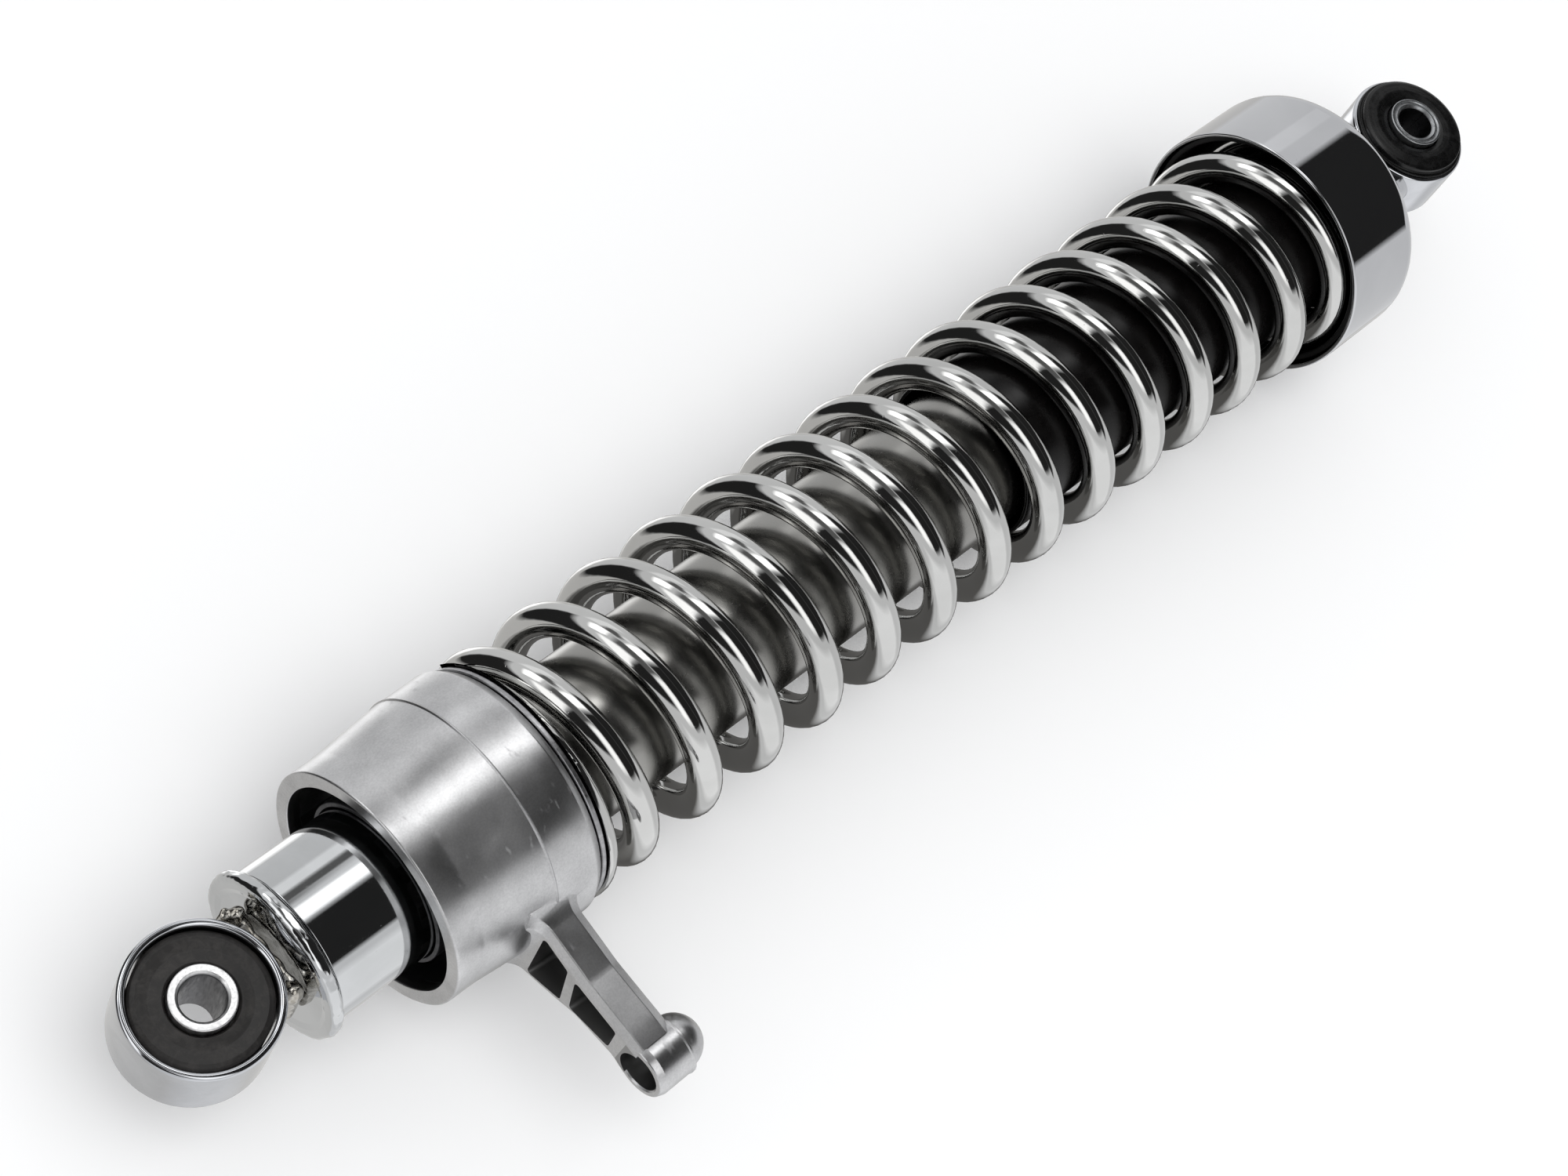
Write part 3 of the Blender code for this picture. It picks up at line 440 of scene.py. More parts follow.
def weld_metal(name, dark, light, rough):
    """Plated weld bead: frozen ripples, little pits and a warm film."""
    mat, tree, shader = shader_of(name, 1.0, rough, light)
    plain = object_coords(tree)
    film = ramp(tree, noise_tex(tree, plain, 2.4, 5.0, 0.7, 1.0), 0.35, 0.7, 0.0, 1.0)
    tree.links.new(tint(tree, film, dark, light), shader.inputs["Base Color"])
    tree.links.new(ramp(tree, film, 0.0, 1.0, rough + 0.12, rough - 0.05), shader.inputs["Roughness"])
    ripple = add_bump(tree, shader, noise_tex(tree, plain, 2.6, 1.0, 0.4, 0.6), 0.08, 0.5)
    add_bump(tree, shader, noise_tex(tree, plain, 0.9, 1.0, 0.4), 0.005, 0.4, ripple)
    return mat


LOW_EYE_X = eye_span("lower_eye")[0]
ALONG_EYE = (1.0, 1.0, 0.2)    # a stretch that draws fine lines out along Z
ALONG_DAMPER = (0.3, 1.0, 1.0)
CHROME_SPRING = chrome("spring_plate", (0.53, 0.53, 0.52), (0.60, 0.60, 0.59), 0.05, 14.0, 0.004, 0.03)
CHROME_TUBE = chrome("tube_plate", (0.53, 0.54, 0.545), (0.62, 0.63, 0.64), 0.05, 11.0, 0.004, 0.05,
                     dull_from=-286.0)
CHROME_CAP = chrome("cap_plate", (0.54, 0.545, 0.56), (0.60, 0.605, 0.62), 0.045, 16.0, 0.002, 0.03)
CHROME_EYE = chrome("eye_plate", (0.50, 0.51, 0.53), (0.60, 0.61, 0.635), 0.08, 6.0, 0.004, 0.06)
CASTING = cast_metal("cast_aluminium", (0.44, 0.44, 0.445), (0.66, 0.66, 0.665), 0.29)
WELD = weld_metal("weld_bead", (0.30, 0.28, 0.24), (0.62, 0.60, 0.56), 0.16)
RUBBER_LOW = rubber("lower_bush_rubber", (0.013, 0.012, 0.0115), (0.036, 0.033, 0.031), 0.46, LOW_EYE_X)
RUBBER_TOP = rubber("upper_bush_rubber", (0.0025, 0.0025, 0.0025), (0.007, 0.007, 0.007), 0.30,
                    0.0, 1.2, 0.01)
ZINC = machined("sleeve_zinc", (0.66, 0.66, 0.66), (0.88, 0.88, 0.88), 0.34, ALONG_EYE, bore_at=LOW_EYE_X)
ZINC_DARK = machined("upper_sleeve_zinc", (0.30, 0.31, 0.32), (0.50, 0.51, 0.52), 0.30, ALONG_EYE,
                     bore_at=0.0)
COVER_BLACK = plastic("cover_black", (0.0018, 0.0015, 0.0015), (0.004, 0.0033, 0.0032), 0.30)
LINER_BLACK = plastic("liner_black", (0.002, 0.002, 0.002), (0.005, 0.005, 0.005), 0.40)
STEEL = machined("machined_steel", (0.30, 0.30, 0.31), (0.50, 0.50, 0.51), 0.30, ALONG_DAMPER)
SHIM_STEEL = machined("shim_steel", (0.34, 0.36, 0.41), (0.52, 0.54, 0.60), 0.22, ALONG_DAMPER)
ALLOY = machined("guide_alloy", (0.48, 0.48, 0.49), (0.68, 0.68, 0.69), 0.36, ALONG_DAMPER)
BRONZE = machined("bush_bronze", (0.42, 0.27, 0.12), (0.64, 0.44, 0.22), 0.34, ALONG_DAMPER)
ROD_CHROME = chrome("rod_plate", (0.66, 0.66, 0.67), (0.76, 0.76, 0.77), 0.03, 20.0, 0.001, 0.02,
                    (1.0, 0.3, 0.3))
BLACK_STEEL = machined("gland_steel", (0.035, 0.035, 0.037), (0.09, 0.09, 0.094), 0.42, metal=0.8)
SEAL_RUBBER = rubber("seal_rubber", (0.018, 0.018, 0.019), (0.04, 0.04, 0.041), 0.48)
PTFE = plastic("ring_ptfe", (0.11, 0.12, 0.10), (0.18, 0.19, 0.17), 0.38)
FOAM = rubber("bump_foam", (0.06, 0.057, 0.048), (0.14, 0.13, 0.11), 0.80, None, 0.5, 0.09)


# ---------------------------------------------------------------- spring

WIRE_R = 3.25
MEAN_INSET = 2.956             # from the CAD spring's outside to the wire's centre line
END_RISE = 6.9                 # rise of an end turn lying against its neighbour
LOW_TURNS = 1.03
HIGH_TURNS = 1.0
PITCH = 15.9
GRIND = 2.3                    # depth from the seat face down to the wire centre at a ground tip
PHASE_DEG = 20.0
STEPS_PER_TURN = 60
WIRE_SIDES = 28


def make_spring():
    """One wire with closed and ground ends."""
    low_face, high_face, outer = span("spring")
    mean_r = outer - MEAN_INSET
    x_start = low_face - GRIND
    x_stop = high_face + GRIND
    rise_low = END_RISE * LOW_TURNS
    rise_high = END_RISE * HIGH_TURNS
    middle = (x_stop - x_start - rise_low - rise_high) / PITCH
    total = LOW_TURNS + middle + HIGH_TURNS
    count = int(total * STEPS_PER_TURN)
    bm = bmesh.new()
    rows = []
    for step in range(count + 1):
        turn = total * step / count
        if turn < LOW_TURNS:
            x = x_start + END_RISE * turn
        elif turn > total - HIGH_TURNS:
            x = x_stop - END_RISE * (total - turn)
        else:
            x = x_start + rise_low + PITCH * (turn - LOW_TURNS)
        angle = math.radians(PHASE_DEG) + 2.0 * math.pi * turn
        c = math.cos(angle)
        s = math.sin(angle)
        row = []
        for side in range(WIRE_SIDES):
            around = 2.0 * math.pi * side / WIRE_SIDES
            r = mean_r + WIRE_R * math.cos(around)
            px = min(max(x + WIRE_R * math.sin(around), low_face), high_face)
            row.append(bm.verts.new((px, r * c, r * s)))
        rows.append(row)
    skin(bm, rows)
    spring = piece("coil_spring", bm, CHROME_SPRING, None, crease=50.0)
    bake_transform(spring)
    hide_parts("spring")


# ---------------------------------------------------------------- top end

ROD_HOLE_R = 6.4               # hole for the rod in the liner and in the dust sleeve
ROD_THREAD_R = 5.3
EYE_WALL = 1.5


def make_cap():
    """The chromed cap with the black liner that the spring rests on, and the dust sleeve under it."""
    x0, x1, r = span("spring_cap")
    wall = 0.9
    bore = 5.8
    outline = rounded([
        (x0, r - wall, 0.35), (x0, r, 0.35), (x1, r, 4.0), (x1, 12.0, 0.0), (x1, bore, 0.25),
        (x1 - 1.4, bore, 0.25), (x1 - 1.4, r - wall, 2.4)])
    piece("chrome_cap", turned(outline), CHROME_CAP, "cap", ["spring_cap"])
    l0, l1, lr = span("upper_spring_seat")
    inner = lr - 1.3
    outline = rounded([
        (l0, inner, 0.3), (l0, lr, 0.3), (l1, lr, 1.8), (l1, ROD_HOLE_R, 0.2), (l1 - 1.5, ROD_HOLE_R, 0.2),
        (l1 - 1.5, inner - 1.2, 0.2), (l1 - 2.2, inner, 0.3)])
    piece("cap_liner", turned(outline), LINER_BLACK, "cap", ["upper_spring_seat"])
    c0, c1, cr = span("dust_cover")
    thin = 0.8
    outline = rounded([
        (c0, cr - thin, 0.15), (c0, cr, 0.3), (c0 + 3.0, cr, 0.0), (c0 + 3.6, cr - 0.22, 0.2),
        (c0 + 4.2, cr, 0.0), (c1, cr, 0.5), (c1, ROD_HOLE_R, 0.2), (c1 - 1.2, ROD_HOLE_R, 0.2),
        (c1 - 1.2, cr - thin, 0.4)])
    piece("dust_sleeve", turned(outline), COVER_BLACK, "cap", ["dust_cover"])


def make_lock_nut():
    """A hexagon nut with the corners of both faces turned off."""
    low, high = box_mm("rod_lock_nut")
    x0 = low.x
    x1 = high.x
    flat_r = min(high.y, high.z)
    corner_r = flat_r / math.cos(math.radians(30.0))
    body = prism_x([on_circle(corner_r, 60.0 * side + 30.0) for side in range(6)], x0, x1)
    cone = turned([(x0, 0.0), (x0, flat_r - 0.2), (x0 + 1.1, corner_r + 0.3), (x1 - 1.1, corner_r + 0.3),
                   (x1, flat_r - 0.2), (x1, 0.0)], SMALL_STEPS, closed=False)
    body = boolean(body, cone, "INTERSECT")
    thread = [(x0 - 1.0, 0.0), (x0 - 1.0, ROD_THREAD_R), (x1 + 1.0, ROD_THREAD_R), (x1 + 1.0, 0.0)]
    body = boolean(body, turned(thread, SMALL_STEPS, closed=False), "DIFFERENCE")
    piece("hex_lock_nut", body, ZINC_DARK, "top_eye", ["rod_lock_nut"], 20.0)


NECK_R = 9.0
NECK_FLAT = 6.3                # half the neck's depth between its two flats
NECK_GROWTH = (                # (distance from the neck's end, growth of its radius)
    (0.0, -0.9), (0.25, -0.35), (0.9, 0.0), (7.0, 0.0), (9.0, 0.1), (10.8, 0.7), (12.0, 1.6), (19.4, 1.6))


def make_neck(x0):
    """The eye's neck: round with two flats, flared where it meets the ring."""
    corner = math.degrees(math.asin(NECK_FLAT / NECK_R))
    section = [on_circle(NECK_R, side - corner + 2.0 * corner * step / 24)
               for side in (0.0, 180.0) for step in range(25)]
    bm = bmesh.new()
    rows = []
    for at, grow in NECK_GROWTH:
        wide = 1.0 + grow / NECK_R
        deep = 1.0 + min(grow, 0.05) / NECK_FLAT
        rows.append([bm.verts.new((x0 + at, y * wide, z * deep)) for y, z in section])
    skin(bm, rows)
    return bm


def make_upper_eye():
    """The chromed upper ring with its neck, the flanged rubber and the steel sleeve."""
    low, high = box_mm("upper_eye")
    half = high.z
    r = high.y
    inner = r - EYE_WALL
    ring = rounded([(-half, 0.0, 0.0), (-half, r, 0.8), (half, r, 0.8), (half, 0.0, 0.0)], closed=False)
    body = boolean(turned(ring, STEPS, "Z", closed=False), make_neck(low.x), "UNION")
    hole = rounded([(-half - 1.0, 0.0, 0.0), (-half - 1.0, inner + 0.9, 0.0), (-half + 0.5, inner, 0.3),
                    (half - 0.5, inner, 0.3), (half + 1.0, inner + 0.9, 0.0), (half + 1.0, 0.0, 0.0)],
                   closed=False)
    body = boolean(body, turned(hole, STEPS, "Z", closed=False), "DIFFERENCE")
    thread = [(low.x - 1.0, 0.0), (low.x - 1.0, ROD_THREAD_R), (-6.0, ROD_THREAD_R), (-6.0, 0.0)]
    body = boolean(body, turned(thread, SMALL_STEPS, closed=False), "DIFFERENCE")
    piece("upper_ring", body, CHROME_EYE, "top_eye", ["upper_eye"], 30.0)

    flange_z = eye_span("upper_eye_bush")[1]
    bore = 6.4
    rim = r - 0.75
    side = [(half + 0.15, inner - 0.3, 0.0), (half + 0.15, rim, 0.25), (half + 0.7, rim, 0.3),
            (half + 0.75, rim - 0.7, 0.2), (flange_z - 0.6, rim - 0.8, 0.3), (flange_z - 0.3, rim - 1.5, 0.5),
            (flange_z, rim - 3.8, 3.0), (flange_z - 0.2, bore + 1.0, 1.0), (flange_z - 0.5, bore, 0.15)]
    rubber_mesh = turned(rounded(mirrored(side)), STEPS, "Z")
    piece("upper_rubber", rubber_mesh, RUBBER_TOP, "top_eye", ["upper_eye_bush"])
    make_spacer("upper_spacer", "upper_eye_sleeve", "upper_sleeve", 0.0, ZINC_DARK, 0.25)


def make_spacer(name, node, body, x, mat, recess):
    """A steel sleeve with a countersunk bore; recess is how far its end face lies below its edges."""
    _, half, r = eye_span(node)
    bore = SPACER_BORE_R
    side = [(half, r, 0.25), (half, bore + 0.55, 0.12), (half - 0.55, bore, 0.2)]
    if recess:
        side[1:2] = [(half, r - 0.5, 0.2), (half - recess, r - 0.75, 0.1), (half - recess, bore + 0.95, 0.1),
                     (half, bore + 0.75, 0.15)]
    piece(name, turned(rounded(mirrored(side)), SMALL_STEPS, "Z", (x, 0.0)), mat, body, [node])


# ---------------------------------------------------------------- lower end

def make_lower_eye():
    """The chromed lower ring, its rubber and the steel sleeve."""
    x, half, r = eye_span("lower_eye")
    ring = turned(rounded(mirrored([(half, r, 0.78), (half, r - EYE_WALL, 0.68)])), STEPS, "Z", (x, 0.0))
    piece("lower_ring", ring, CHROME_EYE, "damper", ["lower_eye"])
    _, face, rubber_r = eye_span("lower_eye_bush")
    bore = 6.1
    side = [(face - 0.6, rubber_r, 0.25), (face - 0.25, rubber_r - 0.5, 0.2), (face, rubber_r - 1.2, 0.3),
            (face - 0.3, bore + 2.6, 1.0), (face, bore + 0.4, 0.2), (face - 0.5, bore, 0.1)]
    rubber_mesh = turned(rounded(mirrored(side)), STEPS, "Z", (x, 0.0))
    piece("lower_rubber", rubber_mesh, RUBBER_LOW, "damper", ["lower_eye_bush"])
    make_spacer("lower_spacer", "lower_eye_sleeve", "lower_sleeve", x, ZINC, 0.0)


def make_bottom():
    """The dished bottom with its rolled bead, whose rim shows the ripples of the seam."""
    x0, _, r = span("bottom_cap")
    tube_r = span("damper_tube")[2]
    plug_r = tube_r - 1.7

    def uneven(along, radius, angle):
        edge = max(0.0, min(1.0, (radius - plug_r) / 2.0))
        at = Vector((along * 0.25, *on_circle(2.4, angle)))
        lift = edge * (0.22 * noise.noise(at * 2.0) + 0.10 * noise.noise(at * 6.0))
        return along, radius + lift

    outline = rounded([
        (x0 + 1.0, 0.0, 0.0), (x0 + 0.7, 4.0, 2.0), (x0 + 0.25, 9.5, 2.0), (x0 + 0.35, r - 3.4, 0.8),
        (x0, r - 2.3, 0.5), (x0, r, 1.25), (x0 + 2.6, r, 1.2), (x0 + 2.85, tube_r - 0.6, 0.3),
        (x0 + 2.85, plug_r, 0.1), (x0 + 5.7, plug_r, 0.1), (x0 + 5.7, 0.0, 0.0)], closed=False)
    piece("bottom_dish", turned(outline, FINE_STEPS, closed=False, shape=uneven), CHROME_TUBE, "damper",
          ["bottom_cap"])


SPATTER = (                    # (centre, size) of the drops beside the seam
    ((-328.4, 9.3, 5.2), 1.3), ((-327.6, 10.1, 6.1), 0.7), ((-329.3, 9.0, 6.4), 0.6))
WELD_VOXEL = 0.3
WELD_CLEAR = 0.12              # gap between the weld and the ring


def add_bead(bm, spot, radii):
    made = bmesh.ops.create_icosphere(bm, subdivisions=2, radius=1.0)
    bmesh.ops.scale(bm, verts=made["verts"], vec=radii)
    bmesh.ops.translate(bm, verts=made["verts"], vec=spot)


def make_weld():
    """Weld between the ring and the dished bottom: a saddle block and beads, fused by a remesh."""
    low, high = box_mm("lower_eye_weld")
    eye_x, _, eye_r = eye_span("lower_eye")
    random.seed(11)
    top = high.x - 0.05
    bm = bmesh.new()
    made = bmesh.ops.create_cube(bm, size=1.0)
    width = Vector((high.x - low.x, 2.0 * high.y - 1.6, 2.0 * high.z - 3.6))
    bmesh.ops.scale(bm, verts=made["verts"], vec=width)
    bmesh.ops.translate(bm, verts=made["verts"], vec=((low.x + top) * 0.5, 0.0, 0.0))
    # a broad smooth run on the -Y side, a thinner broken one on the +Y side
    for index in range(4):
        z = high.z * (index / 3 * 2.0 - 1.0) * 0.62
        add_bead(bm, Vector((top - 1.6 - random.uniform(0.0, 0.3), -(high.y - 1.3), z)), (2.1, 1.7, 3.0))
    for index in range(7):
        z = high.z * (index / 6 * 2.0 - 1.0) * 0.92
        size = random.uniform(0.9, 1.5)
        add_bead(bm, Vector((top - size * 0.7, high.y - 0.8 + random.uniform(-0.3, 0.3), z)),
                 (size * 1.1, size * 0.9, size * 1.2))
    for end in (-1.0, 1.0):
        for index in range(4):
            y = high.y * (index / 3 * 2.0 - 1.0) * 0.7
            add_bead(bm, Vector((top - 0.5, y, end * (high.z - 1.6))), (0.8, 2.2, 0.6))
        add_bead(bm, Vector((top - 1.7, -(high.y - 1.6), end * (high.z - 2.2))), (2.2, 1.9, 2.2))
        add_bead(bm, Vector((top - 1.2, high.y - 1.2, end * (high.z - 1.5))), (1.5, 1.1, 1.4))
    for at, size in SPATTER:
        add_bead(bm, Vector(at), (size * 1.2, size * 0.7, size))
    mesh = bpy.data.meshes.new("weld_raw")
    bmesh.ops.recalc_face_normals(bm, faces=bm.faces)
    bm.to_mesh(mesh)
    bm.free()
    raw = new_object("weld_raw", mesh)
    remesh = raw.modifiers.new("fuse", "REMESH")
    remesh.mode = "VOXEL"
    remesh.voxel_size = WELD_VOXEL
    relax = raw.modifiers.new("relax", "SMOOTH")
    relax.factor = 0.6
    relax.iterations = 9
    depsgraph = bpy.context.evaluated_depsgraph_get()
    fused = bmesh.new()
    fused.from_mesh(raw.evaluated_get(depsgraph).to_mesh())
    bpy.data.objects.remove(raw, do_unlink=True)
    bpy.data.meshes.remove(mesh)
    clear = eye_r + WELD_CLEAR
    for vert in fused.verts:
        reach = math.hypot(vert.co.x - eye_x, vert.co.y)
        if reach < clear:
            vert.co.x = eye_x + (vert.co.x - eye_x) * clear / reach
            vert.co.y = vert.co.y * clear / reach
        vert.co.x = min(vert.co.x, top + 0.3)
    piece("weld_bead", fused, WELD, "damper", ["lower_eye_weld"], 60.0)


def make_tube():
    x0, x1, r = span("damper_tube")
    outline = rounded([(x0, r - 1.4, 0.1), (x0, r, 0.2), (x1, r, 0.5), (x1, r - 1.4, 0.2)])
    piece("damper_body", turned(outline), CHROME_TUBE, "damper", ["damper_tube"])


# ---------------------------------------------------------------- adjuster

CUP_MOUTH_R = 20.6
CUP_BORE_R = 15.9
CAM_R = 18.4
CAM_REST = 16.2                # distance from the mouth to the cam face over a lug
CAM_RISE_PER_DEG = 0.06
CAM_LOW_DEG = -15.0
CAM_HIGH_DEG = 120.0
CAM_LAND = 13.4                # distance from the mouth to the stop land
LUG_DEG = 90.0                 # angle of the first lug; the other is opposite
LUG_HALF_DEG = 7.0
LUG_TOP = -287.9               # x of a lug's face under the cam
LUG_R = 18.1
BAND_R = 15.4                  # bore of the pressed band
BAND_T = 0.9
BAND_WIDTH = 4.8


def cam_face(angle):
    """Distance from the mouth to the cam face: a ramp for each lug, with a stop land between."""
    offset = (angle - LUG_DEG - CAM_LOW_DEG) % 180.0 + CAM_LOW_DEG
    if offset <= CAM_HIGH_DEG:
        return CAM_REST + CAM_RISE_PER_DEG * offset
    return CAM_LAND


def cup_outline(angle, x0, x1, r):
    """Section of the cast cup at one angle, from the mouth's lip round to the cam and back."""
    face = x0 + cam_face(angle)
    corners = [
        (x0, CUP_MOUTH_R, 0.25), (x0, r - 1.75, 0.45), (x0 + 5.8, r - 1.7, 9.0), (x0 + 21.0, r - 0.3, 0.0),
        (x0 + 21.25, r, 0.08), (x0 + 21.6, r - 0.25, 0.0), (x0 + 30.6, r - 0.1, 0.8),
        (x1, r - 1.2, 0.5), (x1, CUP_BORE_R, 0.4), (face, CUP_BORE_R, 0.25), (face, CAM_R, 0.25),
        (x0 + 25.3, CAM_R, 0.6), (x0 + 25.3, CUP_MOUTH_R + 0.3, 1.2), (x0 + 3.0, CUP_MOUTH_R + 0.3, 0.5),
        (x0 + 1.5, CUP_MOUTH_R, 0.5)]
    return rounded(corners, 5)


# The lever's edges are broken lines of (reach from the damper axis, z or x).
LEVER_TOP = ((24.5, 9.3), (36.6, 6.9), (48.0, 6.3), (53.0, 5.7))
LEVER_BOTTOM = ((24.5, -10.4), (38.5, -4.5), (48.0, -3.5), (51.0, -4.6))
LEVER_HIGH = ((24.5, -278.9), (50.0, -278.7))
LEVER_LOW = -287.0             # x of the hollowed face
LEVER_ROOT = 2.4               # radius of the flare at the cup
LEVER_RIM_TOP = 2.5
LEVER_RIM_BOTTOM = 1.4
POCKET_DEPTH = 5.5
POCKETS = ((26.4, 33.7, 0.4, 0.9), (35.8, 46.2, 0.9, 0.2))     # (near reach, far reach, lean of each end)
BOSS_LOW = -286.7
BOSS_HIGH = -278.6             # x where the dome begins
BOSS_R = 5.8
BOSS_DOME_R = 5.3
BOSS_BORE_R = 4.1


def along_edge(edge, reach):
    """Value of a broken line of (reach, value) at a reach from the axis."""
    if reach <= edge[0][0]:
        return edge[0][1]
    for (r0, v0), (r1, v1) in zip(edge, edge[1:]):
        if reach <= r1:
            return v0 + (v1 - v0) * (reach - r0) / (r1 - r0)
    return edge[-1][1]


def lever_section(reach, r):
    """(x, z) outline of the arm: flat top, bevelled towards the hollows, drafted on its far side."""
    depth = min(max(reach - (r - 0.5), 0.0), LEVER_ROOT)
    flare = LEVER_ROOT - math.sqrt(LEVER_ROOT ** 2 - (LEVER_ROOT - depth) ** 2)
    top = along_edge(LEVER_TOP, reach) + flare * 0.9
    bottom = along_edge(LEVER_BOTTOM, reach) - flare * 0.9
    low = LEVER_LOW - flare
    high = along_edge(LEVER_HIGH, reach) + flare * 0.6
    draft = 1.5
    shoulder = high - 2.0
    return rounded([
        (low, bottom, 0.55), (shoulder, bottom, 0.7), (high, bottom + draft, 0.7), (high, top - draft, 0.5),
        (shoulder, top, 0.35), (low + 0.9, top, 0.3), (low, top - 2.0, 0.9)], 4, 0.1)


def make_lever(r):
    """The arm: flared where it leaves the cup, with a knee halfway."""
    reaches = [21.0, 23.0] + [24.9 + 0.3 * i for i in range(9)]         # the flare, in close steps
    reaches += [28.0, 30.0, 32.0, 34.0, 35.6, 36.2, 36.8, 37.4, 38.4]   # on to the knee
    reaches += [40.0, 42.0, 44.0, 46.0, 47.4, 48.6, 50.0, 51.4]
    bm = bmesh.new()
    rows = []
    for reach in reaches:
        curl = max(0.0, min(1.0, (34.0 - reach) / 9.0))
        row = []
        for x, z in lever_section(reach, r):
            y = curl * math.sqrt(max(reach ** 2 - z ** 2, 1.0)) + (1.0 - curl) * reach
            row.append(bm.verts.new((x, -y, z)))
        rows.append(row)
    skin(bm, rows)
    return bm


def pocket(reach0, reach1, lean0, lean1):
    """One hollow in the arm's -X side, drafted inwards, with slanted ends beside the diagonal rib."""
    draft = 0.5
    bm = bmesh.new()
    rows = []
    for x, shrink in ((LEVER_LOW - 3.0, -draft * 0.5), (LEVER_LOW, 0.0), (LEVER_LOW + POCKET_DEPTH, draft)):
        near = reach0 + shrink
        far = reach1 - shrink
        top0, top1 = (along_edge(LEVER_TOP, reach) - LEVER_RIM_TOP - shrink for reach in (near, far))
        low0, low1 = (along_edge(LEVER_BOTTOM, reach) + LEVER_RIM_BOTTOM + shrink for reach in (near, far))
        outline = rounded([(-(near - lean0), top0, 0.8), (-(far - lean1), top1, 0.8),
                           (-(far + lean1), low1, 0.8), (-(near + lean0), low0, 0.8)], 4, 0.05)
        rows.append([bm.verts.new((x, y, z)) for y, z in outline])
    skin(bm, rows)
    return bm


def mark_hollows(casting, mouth_x, boss_y):
    """Set "grime" to 1 on the faces inside the cup, the arm's hollows and the blind bore: painted shade."""
    values = []
    for face in casting.data.polygons:
        x, y, z = face.center / MM
        in_cup = math.hypot(y, z) < CUP_MOUTH_R + 0.3 and x > mouth_x + 0.4
        reach = -y
        in_arm = (POCKETS[0][0] - 0.4 < reach < POCKETS[1][1] + 0.4
                  and LEVER_LOW + 0.3 < x < LEVER_LOW + POCKET_DEPTH + 0.3
                  and along_edge(LEVER_BOTTOM, reach) + LEVER_RIM_BOTTOM - 0.6 < z
                  and z < along_edge(LEVER_TOP, reach) - LEVER_RIM_TOP + 0.6)
        in_bore = math.hypot(y - boss_y, z) < BOSS_BORE_R + 0.1 and x < LEVER_LOW + 8.0
        values.append(1.0 if in_cup or in_arm or in_bore else 0.0)
    casting.data.attributes.new("hollow_shade", "FLOAT", "FACE").data.foreach_set("value", values)


def make_boss(boss_y):
    """The lever's end: a short cylinder with a blind bore, a flash line and a domed back."""
    bore_end = BOSS_LOW + 6.7
    corners = [(bore_end, 0.0, 0.0), (bore_end, BOSS_BORE_R - 1.0, 0.8), (BOSS_LOW + 5.9, BOSS_BORE_R, 0.3),
               (BOSS_LOW + 0.3, BOSS_BORE_R, 0.0), (BOSS_LOW, BOSS_BORE_R + 0.3, 0.0),
               (BOSS_LOW, BOSS_R - 0.5, 0.35), (BOSS_LOW + 1.0, BOSS_R - 0.15, 0.3),
               (BOSS_LOW + 1.5, BOSS_R, 0.3), (BOSS_HIGH - 0.5, BOSS_R, 0.1),
               (BOSS_HIGH - 0.3, BOSS_R + 0.18, 0.1), (BOSS_HIGH + 0.1, BOSS_R + 0.18, 0.1),
               (BOSS_HIGH + 0.3, BOSS_DOME_R, 0.1)]
    outline = rounded(corners, 4, 0.08, closed=False)
    for step in range(1, 13):
        angle = math.radians(90.0 * step / 12)
        outline.append((BOSS_HIGH + 0.3 + BOSS_DOME_R * math.sin(angle), BOSS_DOME_R * math.cos(angle)))
    outline[-1] = (outline[-1][0], 0.0)
    return turned(outline, SMALL_STEPS, centre=(boss_y, 0.0), closed=False)


def make_adjuster():
    """The cast cup with its cam, joined to the hollowed lever."""
    x0, x1, r = span("preload_adjuster")
    boss_y = box_mm("preload_adjuster")[0].y + BOSS_R

    def uneven(along, radius, angle):
        at = Vector((along * 0.09, *on_circle(1.7, angle)))
        return along, radius + 0.07 * noise.noise(at * 1.6)

    cup = turned(lambda angle: cup_outline(angle, x0, x1, r), FINE_STEPS, shape=uneven)
    arm = boolean(make_lever(r), make_boss(boss_y), "UNION")
    # the lever's end fills the boss's bore, so it is cut open again
    bore = [(BOSS_LOW - 3.0, 0.0), (BOSS_LOW - 3.0, BOSS_BORE_R), (BOSS_LOW + 5.5, BOSS_BORE_R),
            (BOSS_LOW + 5.5, 0.0)]
    arm = boolean(arm, turned(bore, SMALL_STEPS, centre=(boss_y, 0.0), closed=False), "DIFFERENCE")
    for ends in POCKETS:
        arm = boolean(arm, pocket(*ends), "DIFFERENCE")
    body = boolean(cup, arm, "UNION")
    casting = piece("adjuster_casting", body, CASTING, "adjuster", ["preload_adjuster"],
                    30.0)
    # the hollows are marked for painted shade
    mark_hollows(casting, x0, boss_y)


